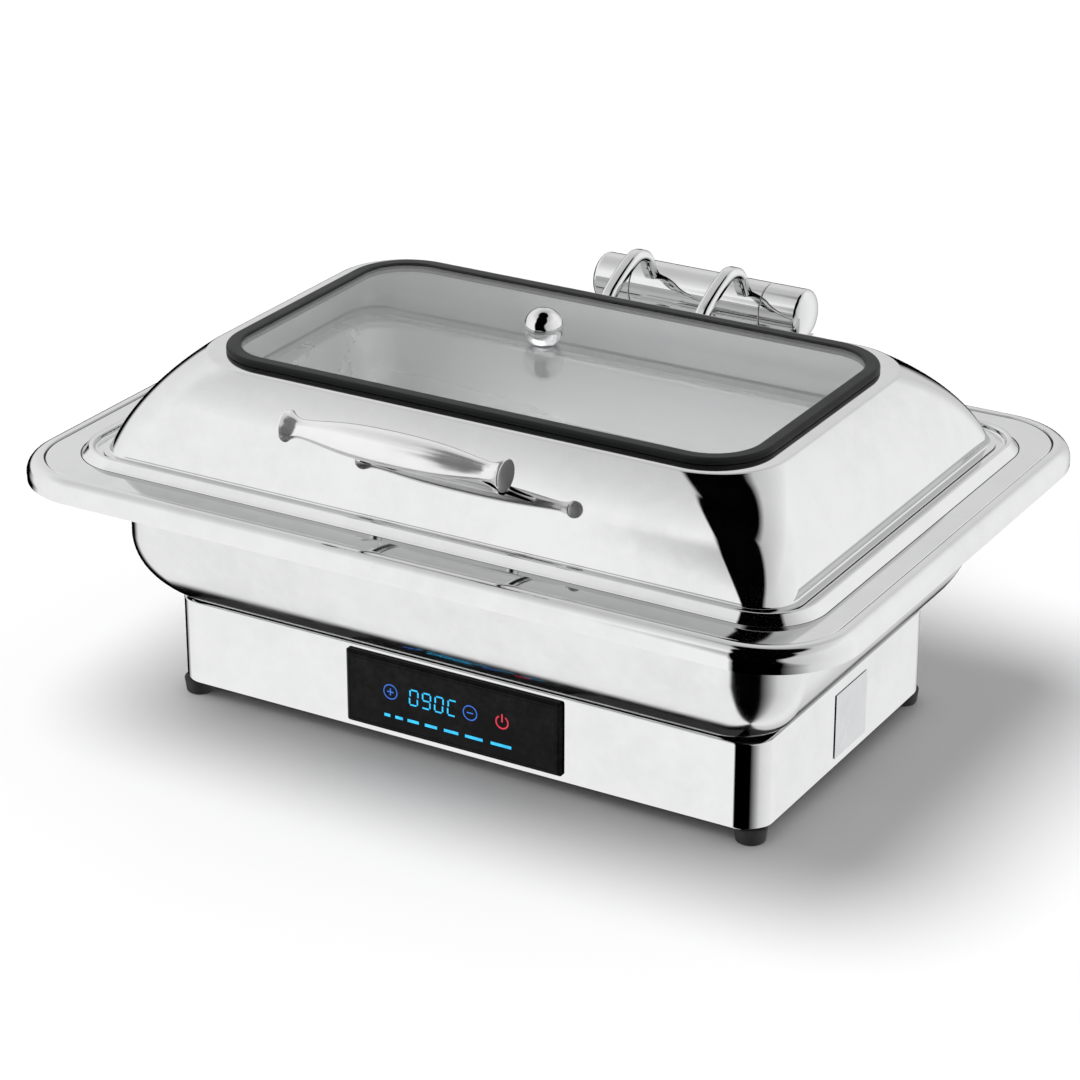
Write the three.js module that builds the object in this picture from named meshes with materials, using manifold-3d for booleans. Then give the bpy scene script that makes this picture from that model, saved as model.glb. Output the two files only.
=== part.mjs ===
// Electric buffet server: a heated base, a lift-off water pan in a wide pressed rim, a food pan,
// and a glass-window lid on a damped rear hinge.
// Millimetres. +X to the right, -Y to the front, +Z up, standing on z = 0.
import * as THREE from "three";
import { mergeVertices } from "three/addons/utils/BufferGeometryUtils.js";
import Module from "manifold-3d";

const wasm = await Module();
wasm.setup();

// ---- driving dimensions ----
const gap = 0.3; // between pieces that touch
const drillClearance = 0.4; // hole radius over the radius of what passes through
const cutClearance = 0.5; // round the panel's box and the inlet where they pass through the base
const sheet = { base: 1.2, rim: 1.2, tub: 1.2, foodPan: 1, lid: 1, cover: 1.2 };

const food = { length: 530, depth: 325, flangeWidth: 11, flangeRadius: 30, bodyRadius: 42, bottomRadius: 18 };
food.deep = 65;
food.taper = 5; // how much each wall leans in towards the bottom
food.lip = 3; // bend between the wall and the flange

const feet = { height: 12, radius: 12, inset: 13, recess: 5, screwRadius: 2.5, screwHead: 5, screwRise: 7 };
const base = { sideInset: 20, endInset: 25.5, height: 66.6, radius: 22, bottomFlange: 26, lip: 1.5 };
const cover = { inset: 1.5, bossRadius: 5, bossRise: 4, boardPostRadius: 4 };
const vents = { count: 9, width: 4, length: 60, pitch: 14, firstX: 4 };
const panel = { length: 180, height: 58, proud: 4, bevel: 2.5, boxMargin: 6, depth: 21, wall: 2, above: 1.2 };
panel.glass = 1.2;
panel.glassMargin = 4;
panel.ledge = { side: 8, end: 5 }; // seat for the glass, inside the box
panel.boardY = 5.5; // middle of the display board behind the base's front
const display = { length: 62, height: 18, x: -13, above: 3.5 };
const tub = { sideMargin: 9, endMargin: 8.1, nesting: 8.6, wallRadius: 40, bottomRadius: 22, flange: 7 };
tub.filletAcross = 74; // the bottom bend is an ellipse
tub.filletUp = 68;
tub.brim = 3; // bend between the wall and the flange
tub.depth = 130.6; // from the tub's underside to the flat band of the rim

const rim = { openingClearance: 2.5, ledgeRise: 1.7, lipDepth: 5, lipBend: 3, rollRise: 0.9 };
rim.apronWidth = 10;
rim.apronDrop = 16;
rim.ringSide = 33; // from the food pan's flange to the foot of the raised ring
rim.ringEnd = 35.5;
rim.ringWidth = 9.7;
rim.ringRise = 6.5;
rim.apronSide = 65;
rim.apronEnd = 72.5;
rim.apronRadius = 66;
rim.ringRadius = 45;
rim.openingRadius = 46;
rim.ringBend = 2;

const lid = { footSide: 11, footEnd: 18, hem: 5, footRadius: 28, shoulderRadius: 55, wallCurve: 122.3 };
lid.footLean = 15.5; // degrees, the wall's normal above level at its foot
lid.topLean = 52.2;
lid.edgeCurve = 5.5;
lid.seat = 0.7; // hem above the rim's ledge
lid.hemRise = 2.1; // from the hem's underside to the foot of the curved wall

const gasket = { lip: 6.5, endLip: 7.5, width: 14, rise: 5, radius: 50, below: 4.2, grip: 5, glassGrip: 5 };
gasket.foot = 2; // the part under the sheet starts this far in
const glass = { thickness: 4, drop: 1.2 };
const knob = { x: -15, y: 15, radius: 15, flat: 3, screwRadius: 2.5, screwReach: 10, washerRadius: 8 };
knob.screwHead = 4.5;
const grip = { length: 175, standOff: 55.3, lean: 34.5, endRadius: 11.5, neckRadius: 6.8, waistRadius: 12.5 };
const handleArm = { spacing: 111.6, radius: 4, footRadius: 6, footHeight: 2 };
const bolt = { radius: 2.5, head: 5.5, headHeight: 2.6, reach: 9, shaftFit: 0.2 };
bolt.length = 14; // of the two bolts through the rim
bolt.nutRadius = 4.6;
bolt.washerRadius = 6;

const hinge = { behind: 2, rise: 43.5, radius: 19.5, length: 187, centreLength: 113, seam: 0.6, capRound: 4 };
hinge.bore = 14.3;
hinge.shaftRadius = 5;
hinge.endWall = 8;
hinge.cupFloor = 4;
const hingeArm = { spacing: 80.5, width: 11.5, thickness: 9, footLean: 43, peak: 36, straight: 10 };
hingeArm.edge = 3.6;
const bracket = { foot: 20, plate: 2.5, web: 5, setBack: 11.5, boltX: 44, saddle: 9, saddleRise: 4, set: 3 };

const heater = { plate: 3, sideMargin: 15, endMargin: 12, radius: 18, edge: 1, tube: 3.25, runs: 4 };
heater.spread = 0.865; // the element's outer runs, as a share of the room inside the posts
heater.turnMargin = 12; // from the plate's end to the element's half turns
heater.tail = 10; // how far the element's two ends run on
heater.sensorRadius = 8;
const post = { radius: 5, endMargin: 30, sideMargin: 7 };
const shield = { drop: 15.4, wall: 1, overhang: 2, flare: 5, height: 8, radius: 20 };

const board = { length: 100, width: 76, thickness: 1.6, x: -150, rise: 10, postInset: 6 };
board.offset = 0.289; // towards the back, as a share of the room left inside the posts
const relay = { length: 28, width: 13, height: 15.5, x: -20, y: -18 };
const terminals = { length: 46, width: 12, height: 13, x: 0, y: 28 };
const transformer = { length: 24, width: 22, height: 17, x: 28, y: -12 };
const wiring = { lead: 1.8, mains: 3, ribbon: 2 };
const inlet = { x: -150, length: 48, height: 28, flange: 3, bodyLength: 27.5, bodyHeight: 20, depth: 21 };
inlet.wall = 1.6;
inlet.pin = { width: 2, height: 4, spacing: 7 };
const plate = { length: 50, height: 50, thickness: 0.4, y: 4, below: 2 };

const cornerSteps = 4; // facets in each rounded plan corner
const roundSteps = 18; // facets round a turned piece

// ---- derived levels and half sizes ----
const half = (side, end) => ({ x: food.length / 2 + side, y: food.depth / 2 + end });
const foodHalf = half(0, 0);
const bodyHalf = half(-food.flangeWidth, -food.flangeWidth);
const baseHalf = half(-base.sideInset, -base.endInset);
const tubHalf = half(tub.sideMargin, tub.endMargin);
const ringHalf = half(rim.ringSide, rim.ringEnd);
const apronHalf = half(rim.apronSide, rim.apronEnd);
const lidFoot = half(lid.footSide, lid.footEnd);

const baseTop = feet.height + base.height;
const tubBottom = baseTop - tub.nesting;
const bandTop = tubBottom + tub.depth;
const ledgeTop = bandTop + rim.ledgeRise;
const hemBottom = ledgeTop + lid.seat;
const wallFootZ = hemBottom + lid.hemRise;

const radians = THREE.MathUtils.degToRad;
const leanFoot = radians(lid.footLean);
const leanTop = radians(lid.topLean);
// The lid's wall is an arc, the same on all four sides: this is its centre, on the front and back.
const wallCentre = {
  y: lidFoot.y - lid.wallCurve * Math.cos(leanFoot),
  z: wallFootZ - lid.wallCurve * Math.sin(leanFoot),
};
const wallTopInset = lid.wallCurve * (Math.cos(leanFoot) - Math.cos(leanTop));
const wallTopZ = wallCentre.z + lid.wallCurve * Math.sin(leanTop);
const shoulderInset = wallTopInset + lid.edgeCurve * Math.cos(leanTop);
const lidTop = wallTopZ + lid.edgeCurve * (1 - Math.sin(leanTop));
const gasketHalf = {
  x: lidFoot.x - shoulderInset - gasket.endLip,
  y: lidFoot.y - shoulderInset - gasket.lip,
};
const gasketTop = lidTop + gasket.rise;
const glassTop = gasketTop - glass.drop;
const glassBottom = glassTop - glass.thickness;

const axisY = apronHalf.y + hinge.behind;
const axisZ = bandTop + hinge.rise;
const plateTop = tubBottom - gap;
const plateBottom = plateTop - heater.plate;
const plateHalf = {
  x: tubHalf.x - tub.filletAcross - heater.sideMargin,
  y: tubHalf.y - tub.filletAcross - heater.endMargin,
};
const shieldTop = plateBottom - shield.drop;
const coverBottom = feet.height + sheet.base + gap;
const coverTop = coverBottom + sheet.cover;
const boltY = ringHalf.y + bracket.setBack;
const postX = plateHalf.x - post.endMargin;
const postY = plateHalf.y - post.sideMargin;
const boardY = board.offset * (postY - post.radius - board.width / 2);

// ---- finishes ----
const finish = (color, roughness, metalness) =>
  new THREE.MeshStandardMaterial({ color, roughness, metalness });
const polished = finish(0xe6e7ea, 0.06, 1);
const satin = finish(0xb9bbbe, 0.35, 1);
const aluminium = finish(0xc2c4c8, 0.4, 1);
const zinc = finish(0xa9adb3, 0.45, 1);
const black = finish(0x0c0c0e, 0.35, 0);
const gloss = finish(0x050506, 0.05, 0);
const rubber = finish(0x151516, 0.8, 0);
const circuit = finish(0x14512c, 0.5, 0);
const clear = finish(0xeef4f2, 0.02, 0);
clear.transparent = true;
clear.opacity = 0.3;
const copperRed = finish(0x7a1512, 0.5, 0);
const label = finish(0xd7d8da, 0.4, 0.6);

// ---- solids ----
// A closed geometry as a manifold-3d solid, faces turned outwards.
function solidOf(geometry) {
  const bare = geometry.index ? geometry.clone() : geometry;
  bare.deleteAttribute("normal");
  bare.deleteAttribute("uv");
  const merged = mergeVertices(bare, 1e-4);
  const index = merged.index.array;
  const position = merged.attributes.position;
  const corners = [0, 1, 2].map(() => new THREE.Vector3());
  const kept = [];
  let volume = 0;
  for (let i = 0; i < index.length; i += 3) {
    const [a, b, c] = [index[i], index[i + 1], index[i + 2]];
    if (a === b || b === c || c === a) {
      continue;
    }
    kept.push(a, b, c);
    corners.forEach((corner, k) => corner.fromBufferAttribute(position, [a, b, c][k]));
    volume += corners[0].dot(corners[1].cross(corners[2]));
  }
  if (volume < 0) {
    for (let i = 0; i < kept.length; i += 3) {
      [kept[i], kept[i + 1]] = [kept[i + 1], kept[i]];
    }
  }
  const mesh = new wasm.Mesh({ numProp: 3, vertProperties: position.array, triVerts: new Uint32Array(kept) });
  return new wasm.Manifold(mesh);
}

function geometryOf(solid) {
  const mesh = solid.getMesh();
  const geometry = new THREE.BufferGeometry();
  geometry.setAttribute("position", new THREE.BufferAttribute(mesh.vertProperties, 3));
  geometry.setIndex(new THREE.BufferAttribute(mesh.triVerts, 1));
  geometry.computeVertexNormals();
  return geometry;
}

const moved = (geometry, x, y, z) => geometry.translate(x, y, z);
const box = (sx, sy, sz, x, y, z) => solidOf(moved(new THREE.BoxGeometry(sx, sy, sz), x, y, z));

// A cylinder along Z from z0 to z1.
function rod(radius, x, y, z0, z1, steps = roundSteps) {
  const cylinder = new THREE.CylinderGeometry(radius, radius, z1 - z0, steps).rotateX(Math.PI / 2);
  return solidOf(moved(cylinder, x, y, (z0 + z1) / 2));
}

// A piece turned from a profile of [radius, height] points, standing along Z.
function turned(profile, steps = roundSteps) {
  const points = profile.map(([radius, height]) => new THREE.Vector2(radius, height));
  return new THREE.LatheGeometry(points, steps).rotateX(Math.PI / 2);
}

// One ring of a rounded rectangle: half sizes, corner radius and height.
const ring = (halfSize, inset, radius, z) => ({ x: halfSize.x - inset, y: halfSize.y - inset, r: radius, z });

// A rounded-rectangle loft: a lathe whose four quarters are moved apart to the corner centres.
function loft(rings) {
  const perCorner = cornerSteps + 1;
  const points = rings.map((at) => new THREE.Vector2(at.r, at.z));
  const geometry = new THREE.LatheGeometry(points, 4 * perCorner);
  const position = geometry.attributes.position;
  for (let turn = 0; turn <= 4 * perCorner; turn++) {
    const step = turn % (4 * perCorner);
    const quarter = Math.floor(step / perCorner);
    const angle = ((quarter + (step % perCorner) / cornerSteps) * Math.PI) / 2;
    const sideX = quarter === 0 || quarter === 3 ? 1 : -1;
    const sideY = quarter < 2 ? 1 : -1;
    rings.forEach((at, level) => {
      const x = sideX * (at.x - at.r) + at.r * Math.cos(angle);
      const y = sideY * (at.y - at.r) + at.r * Math.sin(angle);
      position.setXYZ(turn * rings.length + level, x, y, at.z);
    });
  }
  return solidOf(geometry);
}

// A pressed sheet: the given skin, and the same skin moved by its thickness (to its left for a plus).
function pressed(skin, thickness) {
  const other = skin.map((at, i) => {
    const before = skin[Math.max(i - 1, 0)];
    const after = skin[Math.min(i + 1, skin.length - 1)];
    const normals = [[before, at], [at, after]]
      .map(([p, q]) => new THREE.Vector2(-(q.z - p.z), q.x - p.x))
      .filter((n) => n.length() > 1e-9)
      .map((n) => n.normalize());
    const mean = normals.reduce((sum, n) => sum.add(n), new THREE.Vector2()).normalize();
    const reach = thickness / mean.dot(normals[normals.length - 1]);
    const out = mean.x * reach;
    const centre = at.r === 0;
    return {
      x: centre ? 0 : at.x + out,
      y: centre ? 0 : at.y + out,
      r: centre ? 0 : at.r + out,
      z: at.z + mean.y * reach,
    };
  });
  const closed = [...skin, ...other.reverse()];
  return loft(skin[0].r === 0 ? closed : [...closed, skin[0]]);
}

// Rings along an elliptical bend, from one angle to another (degrees, 0 = outwards, 90 = up).
function bend(halfSize, inset, z, across, up, from, to, steps, radiusFrom, radiusTo) {
  const rings = [];
  for (let i = 0; i <= steps; i++) {
    const angle = radians(from + ((to - from) * i) / steps);
    const radius = radiusFrom + ((radiusTo - radiusFrom) * i) / steps;
    rings.push(ring(halfSize, inset - across * Math.cos(angle), radius, z + up * Math.sin(angle)));
  }
  return rings;
}

const centre = (z) => ({ x: 0, y: 0, r: 0, z });

// A section of [y, z] points swept along X between two places.
function alongX(section, x0, x1) {
  const shape = new THREE.Shape(section.map(([y, z]) => new THREE.Vector2(y, z)));
  const geometry = new THREE.ExtrudeGeometry(shape, { depth: x1 - x0, bevelEnabled: false });
  // Shape x becomes Y, shape y becomes Z, and the sweep runs along X.
  geometry.rotateY(Math.PI / 2).rotateX(Math.PI / 2);
  return solidOf(moved(geometry, x0, 0, 0));
}

function roundedRectangle(width, height, radius) {
  const [w, h] = [width / 2, height / 2];
  const shape = new THREE.Shape();
  shape.moveTo(-w + radius, -h);
  shape.lineTo(w - radius, -h);
  shape.absarc(w - radius, -h + radius, radius, -Math.PI / 2, 0, false);
  shape.absarc(w - radius, h - radius, radius, 0, Math.PI / 2, false);
  shape.absarc(-w + radius, h - radius, radius, Math.PI / 2, Math.PI, false);
  shape.absarc(-w + radius, -h + radius, radius, Math.PI, 1.5 * Math.PI, false);
  return shape;
}

// A rounded plate facing -Y, from y0 (front) to y1 (back), centred at x, z.
function frontPlate(width, height, radius, y0, y1, x, z, bevel = 0) {
  const edge = { bevelEnabled: bevel > 0, bevelSize: bevel, bevelThickness: bevel, bevelSegments: 2 };
  const options = { ...edge, depth: y1 - y0 - bevel, curveSegments: 4 };
  const shape = roundedRectangle(width - 2 * bevel, height - 2 * bevel, radius);
  const geometry = new THREE.ExtrudeGeometry(shape, options).rotateX(Math.PI / 2);
  const block = solidOf(moved(geometry, x, y1, z));
  if (bevel === 0) {
    return block;
  }
  return block.intersect(box(2 * width, y1 - y0, 2 * height, x, (y0 + y1) / 2, z));
}

// A round or oval bar swept along a curve.
function swept(curve, section, steps) {
  const options = { steps, extrudePath: curve, bevelEnabled: false, curveSegments: section.segments };
  return solidOf(new THREE.ExtrudeGeometry(section.shape, options));
}

function roundSection(radius, segments) {
  const shape = new THREE.Shape();
  shape.absarc(0, 0, radius, 0, 2 * Math.PI, false);
  return { shape, segments };
}

// A piece turned along Z, laid so that its foot is at a point on the lid's wall and it points outwards.
function onWall(geometry, x, y, z, lean, back) {
  geometry.rotateX(Math.PI / 2 - lean);
  if (back) {
    geometry.rotateZ(Math.PI);
  }
  return solidOf(moved(geometry, x, y, z));
}

// ---- the assembly ----
const server = new THREE.Group();
// The origin is under the middle of the whole object's box, which the hinge makes deeper at the back.
server.position.y = -(axisY + hinge.radius - apronHalf.y) / 2;

function put(name, solid, material) {
  const mesh = new THREE.Mesh(geometryOf(solid), material);
  mesh.name = name;
  server.add(mesh);
}

const corners = [
  ["front_left", -1, -1],
  ["front_right", 1, -1],
  ["rear_left", -1, 1],
  ["rear_right", 1, 1],
];
const sides = [["left", -1], ["right", 1]];
const displayY = -baseHalf.y + panel.boardY;
const boxLength = panel.length - 2 * panel.boxMargin; // the part of the panel inside the base
const boxHeight = panel.height - 2 * panel.boxMargin;
const footAt = (sx, sy) => [sx * (baseHalf.x - feet.inset), sy * (baseHalf.y - feet.inset)];
const panelZ = feet.height + base.height / 2 + panel.above;

function baseHousing() {
  const inner = base.bottomFlange;
  const skin = [
    ring(baseHalf, inner, 4, feet.height),
    ring(baseHalf, 2, base.radius - 2, feet.height),
    ring(baseHalf, 0.6, base.radius - 0.6, feet.height + 0.6),
    ring(baseHalf, 0, base.radius, feet.height + 2),
    ring(baseHalf, 0, base.radius, baseTop - 1.6),
    ring(baseHalf, 0.6, base.radius - 0.6, baseTop - 0.5),
    ring(baseHalf, sheet.base + base.lip, base.radius - sheet.base - base.lip, baseTop),
  ];
  let housing = pressed(skin, sheet.base);
  const cut = 8; // deep enough to go right through the sheet
  const loose = 2 * cutClearance;
  housing = housing.subtract(box(boxLength + loose, cut, boxHeight + loose, 0, -baseHalf.y, panelZ));
  const [socketLength, socketHeight] = [inlet.bodyLength + loose, inlet.bodyHeight + loose];
  housing = housing.subtract(box(socketLength, cut, socketHeight, inlet.x, baseHalf.y, panelZ));
  for (const [, sx, sy] of corners) {
    const [x, y] = footAt(sx, sy);
    housing = housing.subtract(rod(feet.screwRadius + drillClearance, x, y, 0, coverBottom, 12));
  }
  return housing;
}

function bottomCover() {
  const inset = sheet.base + cover.inset;
  const radius = base.radius - inset;
  const rings = [centre(coverBottom), ring(baseHalf, inset, radius, coverBottom)];
  let tray = loft([...rings, ring(baseHalf, inset, radius, coverTop), centre(coverTop)]);
  const sunk = 0.5; // bosses start inside the sheet, so that they are one with it
  for (const [, sx, sy] of corners) {
    const [x, y] = footAt(sx, sy);
    tray = tray.add(rod(cover.bossRadius, x, y, coverTop - sunk, coverTop + cover.bossRise, 12));
    tray = tray.subtract(rod(feet.screwRadius + 0.2, x, y, 0, coverTop + feet.screwRise + 2, 12));
    const boardX = board.x + sx * (board.length / 2 - board.postInset);
    const y2 = boardY + sy * (board.width / 2 - board.postInset);
    tray = tray.add(rod(cover.boardPostRadius, boardX, y2, coverTop - sunk, coverTop + board.rise - gap, 10));
  }
  for (let slot = 0; slot < vents.count; slot++) {
    tray = tray.subtract(box(vents.width, vents.length, 6, vents.firstX + slot * vents.pitch, 0, coverTop));
  }
  return tray;
}

function foot(sx, sy) {
  const [x, y] = footAt(sx, sy);
  const top = feet.height - gap;
  const recess = feet.screwHead + 0.6;
  const bore = feet.screwRadius + drillClearance;
  const profile = [[recess, 0], [feet.radius - 2.2, 0], [feet.radius - 1.2, 1], [feet.radius, top - 2]];
  profile.push([feet.radius, top], [bore, top], [bore, feet.recess], [recess, feet.recess], [recess, 0]);
  return solidOf(moved(turned(profile, 16), x, y, 0));
}

function footScrew(sx, sy) {
  const [x, y] = footAt(sx, sy);
  const headTop = feet.recess - gap;
  const tip = coverTop + feet.screwRise;
  const { screwHead: head, screwRadius: shank } = feet;
  const profile = [[0, headTop - 2.5], [head - 1, headTop - 2.5], [head, headTop - 1.5], [head, headTop]];
  profile.push([shank, headTop], [shank, tip], [0, tip]);
  return solidOf(moved(turned(profile, 12), x, y, 0));
}

function panelHousing() {
  const back = -baseHalf.y - gap;
  const front = back - panel.proud;
  const inside = front + panel.depth;
  const recess = panel.glass + gap;
  const { wall } = panel;
  let housing = frontPlate(panel.length, panel.height, 1.5, front, back, 0, panelZ, panel.bevel);
  housing = housing.add(box(boxLength, inside - back + 1, boxHeight, 0, (inside + back - 1) / 2, panelZ));
  // Open at the back, then a seat for the glass, then a window behind the glass.
  const [hollowLength, hollowHeight] = [boxLength - 2 * wall, boxHeight - 2 * wall];
  const middle = back + 0.5 + panel.depth;
  housing = housing.subtract(box(hollowLength, 2 * panel.depth, hollowHeight, 0, middle, panelZ));
  const glassLength = panel.length - 2 * panel.glassMargin;
  const glassHeight = panel.height - 2 * panel.glassMargin;
  housing = housing.subtract(box(glassLength, 2 * recess, glassHeight, 0, front, panelZ));
  const [openLength, openHeight] = [boxLength - 2 * panel.ledge.side, boxHeight - 2 * panel.ledge.end];
  return housing.subtract(box(openLength, 3 * panel.proud, openHeight, 0, front, panelZ));
}

function panelGlass() {
  const front = -baseHalf.y - gap - panel.proud;
  const length = panel.length - 2 * panel.glassMargin - 2 * gap;
  const height = panel.height - 2 * panel.glassMargin - 2 * gap;
  return box(length, panel.glass, height, 0, front + panel.glass / 2, panelZ);
}

function displayBoard() {
  const length = boxLength - 2 * panel.wall - 2;
  const height = boxHeight - 2 * panel.wall - 2;
  return box(length, board.thickness, height, 0, displayY, panelZ);
}

function ledDisplay() {
  const back = displayY - board.thickness / 2 - gap;
  const front = -baseHalf.y - panel.proud + panel.glass;
  const { length, height, x, above } = display;
  return box(length, back - front, height, x, (back + front) / 2, panelZ + above);
}

function powerInlet() {
  const face = baseHalf.y + gap;
  const { depth, wall, pin } = inlet;
  let body = box(inlet.length, inlet.flange, inlet.height, inlet.x, face + inlet.flange / 2, panelZ);
  const middle = face - depth / 2 + 0.5; // sunk into the flange, so that they are one
  body = body.add(box(inlet.bodyLength, depth, inlet.bodyHeight, inlet.x, middle, panelZ));
  const [width, height] = [inlet.bodyLength - 2 * wall, inlet.bodyHeight - 2 * wall];
  body = body.subtract(box(width, depth, height, inlet.x, middle + 3.5, panelZ));
  for (const [column, dz] of [[-1, -pin.width], [1, -pin.width], [0, pin.width]]) {
    const x = inlet.x + column * pin.spacing;
    body = body.add(box(pin.width, depth - 2, pin.height, x, middle, panelZ + dz));
  }
  return body;
}

function ratingPlate() {
  const x = baseHalf.x + gap + plate.thickness / 2;
  return box(plate.thickness, plate.length, plate.height, x, plate.y, panelZ - plate.below);
}

function heatingPlate() {
  const { radius, edge } = heater;
  const rings = [centre(plateBottom), ring(plateHalf, edge, radius - edge, plateBottom)];
  rings.push(ring(plateHalf, 0, radius, plateBottom + edge), ring(plateHalf, 0, radius, plateTop - edge));
  rings.push(ring(plateHalf, edge, radius - edge, plateTop), centre(plateTop));
  const bore = heater.sensorRadius + drillClearance;
  return loft(rings).subtract(rod(bore, 0, 0, plateBottom - 5, plateTop + 5));
}

const elementZ = plateBottom - gap - heater.tube;
const elementHalf = heater.spread * (postY - post.radius - heater.tube); // out to the outer runs
const elementPitch = (2 * elementHalf) / (heater.runs - 1);
const turnX = plateHalf.x - elementPitch / 2 - heater.turnMargin;
const elementEnd = -turnX - heater.tail;

// The element's straight runs, joined by half turns, seen from above.
function elementPath() {
  const turnRadius = elementPitch / 2;
  const path = new THREE.CurvePath();
  const point = (x, y) => new THREE.Vector3(x, y, elementZ);
  const bendAt = (x, y, way) => {
    const arc = [0, 1, 2, 3, 4, 5, 6].map((i) => radians(-90 + 30 * i));
    return new THREE.CatmullRomCurve3(
      arc.map((a) => point(x + way * turnRadius * Math.cos(a), y + turnRadius * Math.sin(a))),
    );
  };
  for (let run = 0; run < heater.runs; run++) {
    const y = run * elementPitch - elementHalf;
    const way = run % 2 === 0 ? 1 : -1;
    const start = run === 0 ? elementEnd : -way * turnX;
    const end = run === heater.runs - 1 ? elementEnd : way * turnX;
    path.add(new THREE.LineCurve3(point(start, y), point(end, y)));
    if (run < heater.runs - 1) {
      path.add(bendAt(way * turnX, y + turnRadius, way));
    }
  }
  return path;
}

function heatShield() {
  const { wall, overhang, flare, height, radius } = shield;
  const skin = [centre(shieldTop - wall), ring(plateHalf, -overhang, radius, shieldTop - wall)];
  skin.push(ring(plateHalf, -flare, radius + 2, shieldTop + 2));
  skin.push(ring(plateHalf, -flare, radius + 2, shieldTop + height));
  let dish = pressed(skin, wall);
  for (const [, sx, sy] of corners) {
    const bore = post.radius + drillClearance;
    dish = dish.subtract(rod(bore, sx * postX, sy * postY, shieldTop - 5, shieldTop + 5, 12));
  }
  return dish;
}

// Wiring, as plain tubes between the pieces they join.
function wire(points, radius, steps) {
  const curve = new THREE.CatmullRomCurve3(points.map(([x, y, z]) => new THREE.Vector3(x, y, z)));
  return swept(curve, roundSection(radius, 3), steps);
}

// The deep tub that holds the water: its outer skin, from the middle of the bottom up to its flange.
function waterTub() {
  const across = tub.filletAcross;
  const up = tub.filletUp;
  const flangeZ = bandTop + rim.ledgeRise - sheet.rim - gap - sheet.tub;
  const skin = [centre(tubBottom)];
  const { brim, bottomRadius, wallRadius } = tub;
  skin.push(...bend(tubHalf, across, tubBottom + up, across, up, -90, 0, 7, bottomRadius, wallRadius));
  skin.push(...bend(tubHalf, -brim, flangeZ - brim, -brim, brim, 0, 90, 2, wallRadius, wallRadius + brim));
  skin.push(ring(tubHalf, -tub.flange, tub.wallRadius + tub.flange, flangeZ));
  return pressed(skin, sheet.tub);
}

// The wide pressed rim, as its upper skin from the food pan's opening out to the apron's edge.
function rimFrame() {
  const inset = rim.openingClearance - food.flangeWidth;
  const opening = half(inset, inset);
  const { openingRadius: r0, ringRadius: foot, ringWidth: width, lipBend: lip, ringBend: round } = rim;
  const top = bandTop + rim.ringRise;
  const skin = [ring(opening, 0, r0, ledgeTop - rim.lipDepth)];
  skin.push(...bend(opening, -lip, ledgeTop - lip, -lip, lip, 0, 90, 2, r0, r0 + lip));
  skin.push(ring(ringHalf, width + 2, foot - width - 2, ledgeTop));
  skin.push(ring(ringHalf, width + 0.6, foot - width - 0.6, ledgeTop + 0.6));
  const r1 = foot - width;
  skin.push(...bend(ringHalf, width - round, top - round, -round, round, 0, 90, 2, r1, r1 + round));
  const outside = width - round - 0.6;
  skin.push(...bend(ringHalf, outside, top - round, round, round, 90, 30, 2, r1 + 2.6, r1 + 4.6));
  skin.push(ring(ringHalf, 1.4, foot - 1.4, bandTop + 0.8), ring(ringHalf, 0, foot, bandTop));
  const roll = rim.apronWidth;
  const { apronRadius } = rim;
  const rollTop = bandTop + rim.rollRise;
  const drop = rim.apronDrop - 3;
  skin.push(ring(apronHalf, roll + 4, apronRadius - roll - 4, bandTop));
  skin.push(ring(apronHalf, roll + 2, apronRadius - roll - 2, rollTop));
  skin.push(...bend(apronHalf, roll, rollTop - drop, roll, drop, 90, 0, 5, apronRadius - roll, apronRadius));
  skin.push(ring(apronHalf, 0, apronRadius, rollTop - rim.apronDrop));
  let frame = pressed(skin, -sheet.rim);
  const bore = bolt.radius + drillClearance;
  for (const [, side] of sides) {
    frame = frame.subtract(rod(bore, side * bracket.boltX, boltY, bandTop - 9, bandTop + 9, 12));
  }
  return frame;
}

function foodPan() {
  const flangeZ = ledgeTop + gap;
  const bottom = flangeZ - food.deep;
  const { bottomRadius: r, bodyRadius, flangeRadius, taper, lip } = food;
  const corner = bodyRadius - taper;
  const skin = [centre(bottom)];
  skin.push(...bend(bodyHalf, taper + r, bottom + r, r, r, -90, 0, 4, corner - r / 2, corner));
  const across = 0.5 - lip;
  skin.push(...bend(bodyHalf, across, flangeZ - lip, across, lip, 0, 90, 2, bodyRadius, bodyRadius - 4));
  skin.push(ring(foodHalf, 1.6, flangeRadius - 1.6, flangeZ), ring(foodHalf, 0, flangeRadius, flangeZ - 0.1));
  return pressed(skin, sheet.foodPan);
}

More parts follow.
